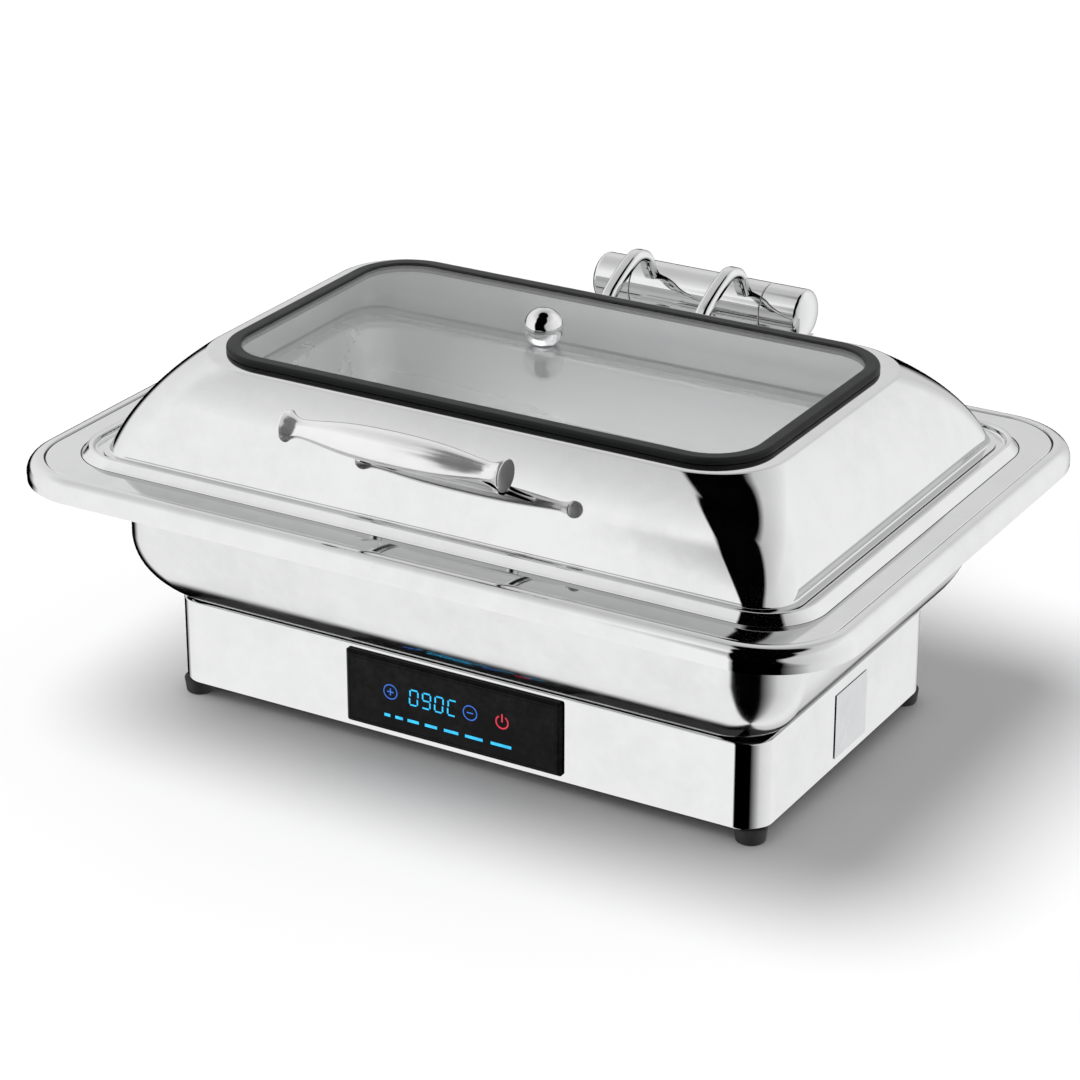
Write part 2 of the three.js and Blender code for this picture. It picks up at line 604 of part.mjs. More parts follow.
// The lid's outer skin, from the hem's edge up the curved wall and over to the window's opening.
function lidShell() {
  const t = sheet.lid;
  const foot = lid.footRadius;
  const skin = [ring(lidFoot, -lid.hem, foot + lid.hem, hemBottom + t)];
  skin.push(ring(lidFoot, -1, foot + 1, hemBottom + t));
  const steps = 6;
  for (let i = 0; i <= steps; i++) {
    const lean = leanFoot + ((leanTop - leanFoot) * i) / steps;
    const inset = lid.wallCurve * (Math.cos(leanFoot) - Math.cos(lean));
    const radius = foot + ((lid.shoulderRadius - foot) * i) / steps;
    skin.push(ring(lidFoot, inset, radius, wallCentre.z + lid.wallCurve * Math.sin(lean)));
  }
  for (const lean of [70, 90]) {
    const inset = wallTopInset + lid.edgeCurve * (Math.cos(leanTop) - Math.cos(radians(lean)));
    const z = wallTopZ + lid.edgeCurve * (Math.sin(radians(lean)) - Math.sin(leanTop));
    skin.push(ring(lidFoot, inset, lid.shoulderRadius - (lean - lid.topLean) / 20, z));
  }
  skin.push(ring(gasketHalf, gasket.grip, gasket.radius - gasket.grip, lidTop));
  let shell = pressed(skin, t);
  for (const [, side] of sides) {
    const [handleX, hingeX] = [(side * handleArm.spacing) / 2, (side * hingeArm.spacing) / 2];
    shell = shell.subtract(wallBore(handleX, grip.lean, false, drillClearance, 8));
    shell = shell.subtract(wallBore(hingeX, hingeArm.footLean, true, drillClearance, 8));
  }
  return shell;
}

// A turned piece on the inner face of the lid's wall at x, square to it: height 0 is that face.
function insideWall(profile, x, lean, back) {
  const angle = radians(lean);
  const depth = lid.wallCurve - sheet.lid;
  const y = wallCentre.y + depth * Math.cos(angle);
  const z = wallCentre.z + depth * Math.sin(angle);
  return onWall(turned(profile, 12), x, (back ? 1 : -1) * y, z, angle, back);
}

// A bolt with its head inside the lid and its shank out through the wall.
function wallBolt(x, lean, back) {
  const { radius, head, headHeight, reach } = bolt;
  const profile = [[0, -gap - headHeight], [head - 1.5, -gap - headHeight], [head, -gap - 1.2], [head, -gap]];
  profile.push([radius, -gap], [radius, reach], [0, reach]);
  return insideWall(profile, x, lean, back);
}

// The bolt's bore, over and under the wall by a reach.
function wallBore(x, lean, back, clearance, reach) {
  const radius = bolt.radius + clearance;
  return insideWall([[0, -reach], [radius, -reach], [radius, reach], [0, reach]], x, lean, back);
}

function windowGasket() {
  const { width, radius, grip: slot, foot, glassGrip } = gasket;
  const sheetUnder = lidTop - sheet.lid;
  const under = sheetUnder - gasket.below;
  const at = (inset, z) => ring(gasketHalf, inset, radius - inset, z);
  const web = slot + 2 * gap;
  const rings = [at(0, lidTop + gap), at(0, gasketTop - 2), at(1.2, gasketTop - 0.5), at(3, gasketTop)];
  rings.push(at(width - 2, gasketTop), at(width - 0.5, gasketTop - 0.4), at(width, glassTop + gap));
  rings.push(at(width - glassGrip, glassTop + gap), at(width - glassGrip, glassBottom - gap));
  rings.push(at(width, glassBottom - gap), at(width, under + 1), at(width - 1.5, under), at(foot + 1, under));
  rings.push(at(foot, under + 0.8), at(foot, sheetUnder - gap));
  rings.push(at(web, sheetUnder - gap), at(web, lidTop + gap));
  return loft([...rings, rings[0]]);
}

function windowGlass() {
  const inset = gasket.width - gasket.glassGrip + gap;
  const r = gasket.radius - inset;
  const rings = [centre(glassBottom), ring(gasketHalf, inset, r, glassBottom)];
  rings.push(ring(gasketHalf, inset, r, glassTop), centre(glassTop));
  const bore = rod(knob.screwRadius + drillClearance, knob.x, knob.y, glassBottom - 5, glassTop + 5, 16);
  return loft(rings).subtract(bore);
}

function ventKnob() {
  const { radius, flat } = knob;
  const bottom = glassTop + gap;
  const middle = bottom + radius - flat;
  const bore = knob.screwRadius + bolt.shaftFit;
  const boreTop = glassTop + knob.screwReach + 2;
  const profile = [[0, boreTop], [bore, boreTop], [bore, bottom]];
  const lowest = Math.asin((radius - flat) / radius);
  const steps = 9;
  for (let i = 0; i <= steps; i++) {
    const angle = -lowest + ((Math.PI / 2 + lowest) * i) / steps;
    profile.push([i === steps ? 0 : radius * Math.cos(angle), middle + radius * Math.sin(angle)]);
  }
  return solidOf(moved(turned(profile), knob.x, knob.y, 0));
}

function knobScrew() {
  const under = glassBottom - gap;
  const tip = glassTop + knob.screwReach;
  const { screwRadius: r, screwHead: head, washerRadius } = knob;
  const profile = [[0, under - 3.2], [head - 1, under - 3.2], [head, under - 2.2], [head, under - 1]];
  profile.push([washerRadius, under - 1], [washerRadius, under], [r, under], [r, tip], [0, tip]);
  return solidOf(moved(turned(profile, 16), knob.x, knob.y, 0));
}

const gripY = -(wallCentre.y + (lid.wallCurve + grip.standOff) * Math.cos(radians(grip.lean)));
const gripZ = wallCentre.z + (lid.wallCurve + grip.standOff) * Math.sin(radians(grip.lean));

// The grip's radius along its length: a long swell, a neck near each end and a flared end.
function gripProfile(extra) {
  const end = grip.length / 2;
  const at = (share, radius) => [radius + extra, share * end];
  const { waistRadius: waist, neckRadius: neck, endRadius } = grip;
  const swell = (share) => neck + (waist - neck) * share;
  const flare = (share) => neck + (endRadius - neck) * share;
  const side = [at(0, waist), at(0.25, swell(0.93)), at(0.45, swell(0.74)), at(0.62, swell(0.42))];
  side.push(at(0.76, swell(0.12)), at(0.86, neck), at(0.91, flare(0.17)), at(0.96, flare(0.64)));
  side.push(at(0.985, endRadius), at(1, endRadius - 0.8));
  const lower = side.slice(1).reverse().map(([radius, height]) => [radius, -height]);
  return [[0, -end - extra], ...lower, ...side, [0, end + extra]];
}

const gripSolid = (extra) =>
  solidOf(moved(turned(gripProfile(extra), 16).rotateY(Math.PI / 2), 0, gripY, gripZ));

function handleArmOf(side) {
  const angle = radians(grip.lean);
  const start = lid.wallCurve + gap + 0.1;
  const y = wallCentre.y + start * Math.cos(angle);
  const z = wallCentre.z + start * Math.sin(angle);
  const { radius, footRadius, footHeight } = handleArm;
  const bore = bolt.radius + bolt.shaftFit;
  const profile = [[0, bolt.reach], [bore, bolt.reach], [bore, 0], [footRadius, 0], [footRadius, footHeight]];
  profile.push([radius, footHeight + 2], [radius, grip.standOff], [0, grip.standOff]);
  const arm = onWall(turned(profile, 16), (side * handleArm.spacing) / 2, -y, z, angle, false);
  return arm.subtract(gripSolid(gap));
}

// A goose-neck bar from the lid's back wall, up and over to the upper front of the hinge barrel.
function hingeArmOf(side) {
  const angle = radians(hingeArm.footLean);
  const start = lid.wallCurve + gap;
  const foot = [wallCentre.y + start * Math.cos(angle), wallCentre.z + start * Math.sin(angle)];
  const peakZ = axisZ + hingeArm.peak;
  const span = axisY - foot[0];
  const points = [
    foot,
    [foot[0] + hingeArm.straight * Math.cos(angle), foot[1] + hingeArm.straight * Math.sin(angle)],
    [foot[0] + 0.38 * span, peakZ - 4.5],
    [foot[0] + 0.56 * span, peakZ],
    [foot[0] + 0.72 * span, peakZ - 4.5],
    [axisY - hinge.radius * 0.8, axisZ + hinge.radius * 0.95],
    [axisY - hinge.radius * 0.45, axisZ + hinge.radius * 0.45],
  ];
  const x = (side * hingeArm.spacing) / 2;
  const curve = new THREE.CatmullRomCurve3(points.map(([y, z]) => new THREE.Vector3(x, y, z)));
  const shape = roundedRectangle(hingeArm.thickness, hingeArm.width, hingeArm.edge);
  const bar = swept(curve, { shape, segments: 2 }, 14);
  const cleared = bar.subtract(barrelRod(hinge.radius + gap, hinge.length / 2)).subtract(armBore(side));
  return cleared.subtract(lidInside());
}

const armBore = (side) =>
  wallBore((side * hingeArm.spacing) / 2, hingeArm.footLean, true, bolt.shaftFit, bolt.reach);

// Everything under the lid's outer wall behind the window, with the touching gap added.
function lidInside() {
  const section = [];
  for (let i = 0; i <= 12; i++) {
    const lean = radians(10 + 5 * i);
    const reach = lid.wallCurve + gap;
    section.push([wallCentre.y + reach * Math.cos(lean), wallCentre.z + reach * Math.sin(lean)]);
  }
  section.push([wallCentre.y, wallCentre.z]);
  return alongX(section, -hinge.length / 2, hinge.length / 2);
}

const alongAxis = (geometry) => solidOf(moved(geometry.rotateY(Math.PI / 2), 0, axisY, axisZ));
const barrelRod = (radius, reach) =>
  alongAxis(turned([[0, -reach], [radius, -reach], [radius, reach], [0, reach]], 24));

function tubeAlongAxis(outer, inner, reach) {
  const profile = [[inner, -reach], [outer, -reach], [outer, reach], [inner, reach], [inner, -reach]];
  return alongAxis(turned(profile, 24));
}

// The hinge's fixed end: a cup round the shaft with a rounded outer cap.
function hingeEnd(side) {
  const start = hinge.centreLength / 2 + hinge.seam / 2;
  const end = hinge.length / 2;
  const { radius, capRound } = hinge;
  const bore = hinge.shaftRadius + gap;
  const [boreEnd, floor] = [end - hinge.endWall, start + hinge.cupFloor];
  const profile = [[0, boreEnd], [bore, boreEnd], [bore, floor], [hinge.bore, floor], [hinge.bore, start]];
  profile.push([radius, start]);
  for (let i = 0; i <= 3; i++) {
    const angle = (i * Math.PI) / 6;
    profile.push([radius - capRound * (1 - Math.cos(angle)), end - capRound * (1 - Math.sin(angle))]);
  }
  profile.push([0, end]);
  const geometry = turned(profile, 24).rotateY((side * Math.PI) / 2);
  return solidOf(moved(geometry, 0, axisY, axisZ));
}

// A pressed foot on the rim's flat band, with a web and a saddle under each fixed end of the hinge.
function hingeBracket() {
  const end = hinge.length / 2 - bracket.set;
  const innerEnd = hinge.centreLength / 2 + hinge.cupFloor;
  const low = bandTop + gap;
  const top = low + bracket.plate;
  const y0 = boltY - bracket.foot / 2;
  const y1 = boltY + bracket.foot / 2;
  const under = axisZ - hinge.radius - gap;
  const { saddle, saddleRise, web } = bracket;
  const saddleTop = axisZ - hinge.radius / 2;
  let frame = box(2 * end, y1 - y0, bracket.plate, 0, boltY, low + bracket.plate / 2);
  const lean = [[y1 - 1, low], [y1 - 1 - web, top], [axisY - saddle, under + saddleRise]];
  lean.push([axisY - saddle, saddleTop], [axisY + saddle, saddleTop], [axisY + saddle, under]);
  lean.push([axisY + 3, under - 6], [y1 + 1, low + 1]);
  for (const [, side] of sides) {
    const [x0, x1] = side > 0 ? [innerEnd, end] : [-end, -innerEnd];
    frame = frame.add(alongX(lean, x0, x1));
    const bore = bolt.radius + drillClearance;
    frame = frame.subtract(rod(bore, side * bracket.boltX, boltY, low - 5, top + 5, 12));
  }
  return frame.subtract(barrelRod(hinge.radius + gap, hinge.length));
}

function bracketBolt(side) {
  const seat = bandTop + 2 * gap + bracket.plate;
  const { radius, head } = bolt;
  const profile = [[0, seat - bolt.length], [radius, seat - bolt.length], [radius, seat], [head, seat]];
  profile.push([head, seat + 1.6], [head - 2, seat + 3], [0, seat + 3.4]);
  return solidOf(moved(turned(profile, 16), side * bracket.boltX, boltY, 0));
}

function bracketNut(side) {
  const top = bandTop - sheet.rim - gap;
  const r = bolt.radius + bolt.shaftFit;
  const { nutRadius, washerRadius } = bolt;
  const profile = [[r, top - 4], [nutRadius, top - 4], [nutRadius, top - 1], [washerRadius, top - 1]];
  profile.push([washerRadius, top], [r, top], [r, top - 4]);
  return solidOf(moved(turned(profile, 12), side * bracket.boltX, boltY, 0));
}

// ---- put the pieces in place ----
put("base_housing", baseHousing(), polished);
put("base_bottom_cover", bottomCover(), zinc);
for (const [name, sx, sy] of corners) {
  put(`foot_${name}`, foot(sx, sy), rubber);
  put(`foot_screw_${name}`, footScrew(sx, sy), zinc);
}
put("control_panel_housing", panelHousing(), black);
put("control_panel_glass", panelGlass(), gloss);
put("display_board", displayBoard(), circuit);
put("led_display", ledDisplay(), black);
put("rating_plate", ratingPlate(), label);
put("power_inlet", powerInlet(), black);

const boardBottom = coverTop + board.rise;
const boardTop = boardBottom + board.thickness + gap;
const boardMiddle = boardBottom + board.thickness / 2;
put("power_board", box(board.length, board.width, board.thickness, board.x, boardY, boardMiddle), circuit);
for (const [name, block, material] of [
  ["power_relay", relay, black],
  ["terminal_block", terminals, black],
  ["power_transformer", transformer, copperRed],
]) {
  const { length, width, height, x, y } = block;
  put(name, box(length, width, height, board.x + x, boardY + y, boardTop + height / 2), material);
}

put("heating_plate", heatingPlate(), aluminium);
put("heating_element", swept(elementPath(), roundSection(heater.tube, 4), 46), zinc);
put("heat_shield", heatShield(), satin);
put("temperature_sensor", rod(heater.sensorRadius, 0, 0, shieldTop + gap, plateTop - 0.1, 16), satin);
const cutout = rod(heater.sensorRadius, plateHalf.x / 2, 0, shieldTop + gap, plateBottom - gap, 16);
put("thermal_cutout", cutout, black);
for (const [name, sx, sy] of corners) {
  const rest = rod(post.radius, sx * postX, sy * postY, coverTop + gap, plateBottom - gap, 12);
  put(`plate_post_${name}`, rest, zinc);
}

const leadBend = -plateHalf.x - 16;
for (const [name, way] of [["front", -1], ["rear", 1]]) {
  const y = elementHalf * way;
  const points = [[elementEnd - gap, y, elementZ], [elementEnd - 12, y, elementZ + 0.5]];
  points.push([leadBend, y, elementZ - 3], [leadBend - 3, y, shieldTop - 10]);
  points.push([board.x - 45, y * 0.5 + 4, boardTop + 18], [board.x - 38, boardY + 12 * way, boardTop + 6]);
  put(`element_lead_${name}`, wire(points, wiring.lead, 20), copperRed);
}
const mainsStart = baseHalf.y + 0.5 - inlet.depth - gap;
const mainsX = inlet.x + 12; // clear of the post beside it
const mainsEnd = boardY + terminals.y + terminals.width / 2 + 2 * gap;
const mains = [[inlet.x, mainsStart, panelZ], [inlet.x, mainsStart - 6, panelZ]];
mains.push([mainsX, mainsStart - 24, panelZ - 5], [mainsX, mainsEnd + 12, boardTop + 7]);
mains.push([mainsX, mainsEnd, boardTop + terminals.height / 2]);
put("mains_lead", wire(mains, wiring.mains, 16), black);
const ribbonStart = displayY + board.thickness / 2 + gap;
const ribbon = [[-40, ribbonStart + gap, panelZ - 6], [-41, ribbonStart + 8, panelZ - 7]];
ribbon.push([-70, ribbonStart + 46, boardTop + 10], [board.x + 52, boardY - 58, boardTop + 8]);
ribbon.push([board.x + 44, boardY - 32, boardTop + 2.5]);
put("display_ribbon", wire(ribbon, wiring.ribbon, 18), label);

put("water_pan", waterTub(), polished);
put("rim_frame", rimFrame(), polished);
put("food_pan", foodPan(), satin);

put("lid_shell", lidShell(), polished);
put("window_gasket", windowGasket(), rubber);
put("window_glass", windowGlass(), clear);
put("vent_knob", ventKnob(), polished);
put("knob_screw", knobScrew(), zinc);
put("handle_grip", gripSolid(0), polished);
for (const [name, side] of sides) {
  put(`handle_arm_${name}`, handleArmOf(side), polished);
  put(`handle_bolt_${name}`, wallBolt((side * handleArm.spacing) / 2, grip.lean, false), zinc);
  put(`hinge_arm_${name}`, hingeArmOf(side), polished);
  put(`hinge_arm_bolt_${name}`, wallBolt((side * hingeArm.spacing) / 2, hingeArm.footLean, true), zinc);
}
put("hinge_barrel", tubeAlongAxis(hinge.radius, hinge.bore, (hinge.centreLength - hinge.seam) / 2), polished);
put("hinge_damper", tubeAlongAxis(hinge.bore - gap, hinge.shaftRadius + gap, hinge.centreLength / 2), zinc);
put("hinge_shaft", barrelRod(hinge.shaftRadius, hinge.length / 2 - hinge.endWall - gap), zinc);
put("hinge_bracket", hingeBracket(), polished);
for (const [name, side] of sides) {
  put(`hinge_end_${name}`, hingeEnd(side), polished);
  put(`bracket_bolt_${name}`, bracketBolt(side), zinc);
  put(`bracket_nut_${name}`, bracketNut(side), zinc);
}

export default server;
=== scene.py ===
import math

import bmesh
import bpy
from mathutils import Matrix, Vector


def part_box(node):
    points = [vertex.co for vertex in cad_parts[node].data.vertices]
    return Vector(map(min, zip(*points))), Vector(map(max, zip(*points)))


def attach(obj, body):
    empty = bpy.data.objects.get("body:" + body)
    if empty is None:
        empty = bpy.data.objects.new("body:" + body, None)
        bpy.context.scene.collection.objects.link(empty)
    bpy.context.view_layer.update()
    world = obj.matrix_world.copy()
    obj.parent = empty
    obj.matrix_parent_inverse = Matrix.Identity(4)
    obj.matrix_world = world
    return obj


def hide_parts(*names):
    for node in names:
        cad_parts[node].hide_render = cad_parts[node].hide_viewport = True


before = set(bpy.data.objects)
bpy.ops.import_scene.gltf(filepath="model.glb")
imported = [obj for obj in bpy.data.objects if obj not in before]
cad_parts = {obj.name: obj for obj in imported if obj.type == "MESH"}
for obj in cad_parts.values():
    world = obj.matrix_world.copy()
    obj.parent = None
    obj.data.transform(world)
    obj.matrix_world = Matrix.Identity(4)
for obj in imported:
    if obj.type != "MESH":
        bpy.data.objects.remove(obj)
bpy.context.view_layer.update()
print("frame loaded")

# Pieces are drawn in millimetres round the middle of the rim, then set into the frame in metres.
mm = 0.001
turn = 2 * math.pi
cornerSteps = 18  # facets in each rounded plan corner


def extent(node):
    low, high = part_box(node)
    return low / mm, high / mm


rimLow, rimHigh = extent("rim_frame")
middleY = (rimLow.y + rimHigh.y) / 2
toFrame = Matrix.Translation((0, middleY * mm, 0)) @ Matrix.Scale(mm, 4)


def halfOf(node):
    low, high = extent(node)
    return (high.x - low.x) / 2, (high.y - low.y) / 2


def centreOf(node):
    low, high = extent(node)
    return (low.x + high.x) / 2, (low.y + high.y) / 2 - middleY, (low.z + high.z) / 2


sides = (("left", -1), ("right", 1))
corners = ("front_left", "front_right", "rear_left", "rear_right")


# ---- shader node groups ----

def newGroup(name, numbers, outputs):  # every group reads a vector and some numbers, and gives numbers
    group = bpy.data.node_groups.new(name, "ShaderNodeTree")
    group.interface.new_socket("Vector", in_out="INPUT", socket_type="NodeSocketVector")
    for label, value in numbers.items():
        socket = group.interface.new_socket(label, in_out="INPUT", socket_type="NodeSocketFloat")
        socket.default_value = value
    for label in outputs:
        group.interface.new_socket(label, in_out="OUTPUT", socket_type="NodeSocketFloat")
    return group, group.nodes.new("NodeGroupInput"), group.nodes.new("NodeGroupOutput")


def add(tree, kind, **settings):
    node = tree.nodes.new(kind)
    for key, value in settings.items():
        setattr(node, key, value)
    return node


def link(tree, source, target):
    tree.links.new(source, target)


def feed(tree, value, socket):  # a plain number is set on the socket, anything else is linked to it
    if isinstance(value, (int, float)):
        socket.default_value = value
    else:
        link(tree, value, socket)


def mapRange(tree, source, low, high, fromMin=0.0, fromMax=1.0):
    node = add(tree, "ShaderNodeMapRange")
    for label, value in (("From Min", fromMin), ("From Max", fromMax), ("To Min", low), ("To Max", high),
                         ("Value", source)):
        feed(tree, value, node.inputs[label])
    return node.outputs["Result"]


def noise(tree, vector, scale, detail=3.0, roughness=0.5):
    node = add(tree, "ShaderNodeTexNoise")
    for label, value in (("Detail", detail), ("Roughness", roughness), ("Scale", scale), ("Vector", vector)):
        feed(tree, value, node.inputs[label])
    return node.outputs["Fac"]


def mathNode(tree, operation, a, b):
    node = add(tree, "ShaderNodeMath", operation=operation)
    for socket, value in zip(node.inputs, (a, b)):
        feed(tree, value, socket)
    return node.outputs[0]


def smudgeGroup():  # wiping marks and fingerprints: patches where a gloss is a little dull
    group, source, sink = newGroup("smudges", {"Scale": 14.0, "Low Roughness": 0.03, "High Roughness": 0.1},
                                   ["Roughness", "Mask"])
    broad = noise(group, source.outputs["Vector"], source.outputs["Scale"], 2.0, 0.45)
    finer = mathNode(group, "MULTIPLY", source.outputs["Scale"], 6.5)
    fine = noise(group, source.outputs["Vector"], finer, 4.0, 0.6)
    mixed = mathNode(group, "MULTIPLY", broad, fine)
    mask = mapRange(group, mixed, 0.0, 1.0, 0.16, 0.42)
    link(group, mask, sink.inputs["Mask"])
    rough = mapRange(group, mask, source.outputs["Low Roughness"], source.outputs["High Roughness"])
    link(group, rough, sink.inputs["Roughness"])
    return group


def grainGroup():  # fine parallel lines left by brushing or rolling, along X of the vector
    group, source, sink = newGroup("brushedGrain", {"Fineness": 900.0, "Stretch": 0.02}, ["Height", "Mask"])
    joined = add(group, "ShaderNodeCombineXYZ")
    split = add(group, "ShaderNodeSeparateXYZ")
    link(group, source.outputs["Vector"], split.inputs[0])
    link(group, mathNode(group, "MULTIPLY", split.outputs["X"], source.outputs["Stretch"]), joined.inputs["X"])
    link(group, split.outputs["Y"], joined.inputs["Y"])
    link(group, split.outputs["Z"], joined.inputs["Z"])
    lines = noise(group, joined.outputs[0], source.outputs["Fineness"], 2.0, 0.6)
    link(group, lines, sink.inputs["Height"])
    broad = mathNode(group, "MULTIPLY", source.outputs["Fineness"], 0.04)
    link(group, noise(group, joined.outputs[0], broad, 3.0), sink.inputs["Mask"])
    return group


def mouldGroup():  # the pebbled skin of a moulded surface
    group, source, sink = newGroup("mouldedSkin", {"Scale": 1500.0, "Low Roughness": 0.35, "High Roughness": 0.55},
                                   ["Height", "Roughness", "Mask"])
    cells = add(group, "ShaderNodeTexVoronoi")
    link(group, source.outputs["Vector"], cells.inputs["Vector"])
    link(group, source.outputs["Scale"], cells.inputs["Scale"])
    patches = noise(group, source.outputs["Vector"], mathNode(group, "MULTIPLY", source.outputs["Scale"], 0.03))
    link(group, cells.outputs["Distance"], sink.inputs["Height"])
    link(group, patches, sink.inputs["Mask"])
    rough = mapRange(group, patches, source.outputs["Low Roughness"], source.outputs["High Roughness"], 0.3, 0.7)
    link(group, rough, sink.inputs["Roughness"])
    return group


def wearGroup():  # rubbed edges, and a little dust on faces that look up
    group, source, sink = newGroup("edgesAndDust", {"Edge Amount": 0.5, "Dust Amount": 0.3},
                                   ["Edge Mask", "Dust Mask"])
    geometry = add(group, "ShaderNodeNewGeometry")
    edge = mapRange(group, geometry.outputs["Pointiness"], 0.0, source.outputs["Edge Amount"], 0.52, 0.6)
    broken = noise(group, source.outputs["Vector"], 240.0, 4.0, 0.65)
    link(group, mathNode(group, "MULTIPLY", edge, broken), sink.inputs["Edge Mask"])
    split = add(group, "ShaderNodeSeparateXYZ")
    link(group, geometry.outputs["Normal"], split.inputs[0])
    up = mapRange(group, split.outputs["Z"], 0.0, source.outputs["Dust Amount"], 0.4, 1.0)
    cloud = noise(group, source.outputs["Vector"], 60.0, 5.0, 0.7)
    link(group, mathNode(group, "MULTIPLY", up, cloud), sink.inputs["Dust Mask"])
    return group


smudges, brushedGrain, mouldedSkin, edgesAndDust = smudgeGroup(), grainGroup(), mouldGroup(), wearGroup()
print("shader groups made")


# ---- materials ----

def startMaterial(name, **sockets):
    material = bpy.data.materials.new(name)
    material.use_nodes = True
    tree = material.node_tree
    shader = tree.nodes["Principled BSDF"]
    for label, value in sockets.items():
        shader.inputs[label.replace("_", " ")].default_value = value
    coordinates = add(tree, "ShaderNodeTexCoord")
    return material, tree, shader, coordinates.outputs["Object"]


def place(tree, group, vector, **values):
    node = add(tree, "ShaderNodeGroup", node_tree=group)
    link(tree, vector, node.inputs["Vector"])
    for label, value in values.items():
        node.inputs[label.replace("_", " ")].default_value = value
    return node


def tint(tree, mask, first, second):
    node = add(tree, "ShaderNodeMix", data_type="RGBA")
    colors = [s for s in node.inputs if s.type == "RGBA"]
    for socket, color in zip(colors, (first, second)):
        if isinstance(color, (tuple, list)):
            socket.default_value = (*color, 1)
        else:
            link(tree, color, socket)
    feed(tree, mask, node.inputs[0])
    return next(s for s in node.outputs if s.type == "RGBA")


def bump(tree, shader, height, strength, distance):
    node = add(tree, "ShaderNodeBump")
    node.inputs["Strength"].default_value = strength
    node.inputs["Distance"].default_value = distance
    link(tree, height, node.inputs["Height"])
    link(tree, node.outputs[0], shader.inputs["Normal"])


def paint(tree, shader, color, roughness):
    link(tree, color, shader.inputs["Base Color"])
    link(tree, roughness, shader.inputs["Roughness"])


def polishedSteel(name, low, high, color, wave, metal=1.0):
    material, tree, shader, vector = startMaterial(name, Metallic=metal)
    marks = place(tree, smudges, vector, Scale=9.0, Low_Roughness=low, High_Roughness=high)
    worn = place(tree, edgesAndDust, vector, Edge_Amount=0.4, Dust_Amount=0.25)
    deep = tuple(0.94 * c for c in color)
    base = tint(tree, marks.outputs["Mask"], color, deep)
    rubbed = tint(tree, worn.outputs["Edge Mask"], base, (0.97, 0.97, 0.97))
    dust = mathNode(tree, "MULTIPLY", worn.outputs["Dust Mask"], 0.05)
    paint(tree, shader, rubbed, mathNode(tree, "ADD", marks.outputs["Roughness"], dust))
    sheet = noise(tree, vector, 7.0, 0.0)  # the slow waviness of a pressed and polished sheet
    lines = place(tree, brushedGrain, vector, Fineness=1400.0, Stretch=0.05)
    height = mathNode(tree, "ADD", sheet, mathNode(tree, "MULTIPLY", lines.outputs["Height"], 0.0006))
    bump(tree, shader, height, 1.0, wave)
    return material


def brushedMetal(name, color, low, high, fineness, depth, metal=1.0):
    material, tree, shader, vector = startMaterial(name, Metallic=metal)
    lines = place(tree, brushedGrain, vector, Fineness=fineness, Stretch=0.03)
    worn = place(tree, edgesAndDust, vector, Edge_Amount=0.5, Dust_Amount=0.4)
    dull = tuple(0.82 * c for c in color)
    base = tint(tree, lines.outputs["Mask"], color, dull)
    rubbed = tint(tree, worn.outputs["Edge Mask"], base, (0.85, 0.86, 0.87))
    paint(tree, shader, rubbed, mapRange(tree, lines.outputs["Mask"], low, high, 0.3, 0.7))
    bump(tree, shader, lines.outputs["Height"], 0.35, depth)
    return material


def platedMetal(name, color, low, high):  # zinc plate, with its faint cloudy spangle
    material, tree, shader, vector = startMaterial(name, Metallic=1.0)
    skin = place(tree, mouldedSkin, vector, Scale=420.0, Low_Roughness=low, High_Roughness=high)
    worn = place(tree, edgesAndDust, vector, Edge_Amount=0.7, Dust_Amount=0.3)
    dull = tuple(0.78 * c for c in color)
    base = tint(tree, skin.outputs["Mask"], color, dull)
    rubbed = tint(tree, worn.outputs["Edge Mask"], base, (0.8, 0.82, 0.84))
    paint(tree, shader, rubbed, skin.outputs["Roughness"])
    bump(tree, shader, skin.outputs["Height"], 0.12, 0.0004)
    return material


def moulded(name, color, low, high, scale, strength, dust=0.35, **sockets):
    material, tree, shader, vector = startMaterial(name, **{"Specular_IOR_Level": 0.4, **sockets})
    skin = place(tree, mouldedSkin, vector, Scale=scale, Low_Roughness=low, High_Roughness=high)
    worn = place(tree, edgesAndDust, vector, Edge_Amount=0.35, Dust_Amount=dust)
    light = tuple(min(1.0, 1.6 * c + 0.01) for c in color)
    base = tint(tree, mapRange(tree, skin.outputs["Mask"], 0.0, 0.5), color, light)
    base = tint(tree, worn.outputs["Edge Mask"], base, tuple(0.5 * c + 0.12 for c in color))
    dusty = tuple(0.75 * c + 0.08 for c in color)
    paint(tree, shader, tint(tree, worn.outputs["Dust Mask"], base, dusty), skin.outputs["Roughness"])
    bump(tree, shader, skin.outputs["Height"], strength, 0.0003)
    return material


def glossPanel(name, color):
    material, tree, shader, vector = startMaterial(name, IOR=1.45, Specular_IOR_Level=0.12)
    marks = place(tree, smudges, vector, Scale=30.0, Low_Roughness=0.04, High_Roughness=0.16)
    film = tuple(c + 0.012 for c in color)
    paint(tree, shader, tint(tree, marks.outputs["Mask"], color, film), marks.outputs["Roughness"])
    bump(tree, shader, noise(tree, vector, 40.0, 1.0), 0.2, 0.0002)
    return material


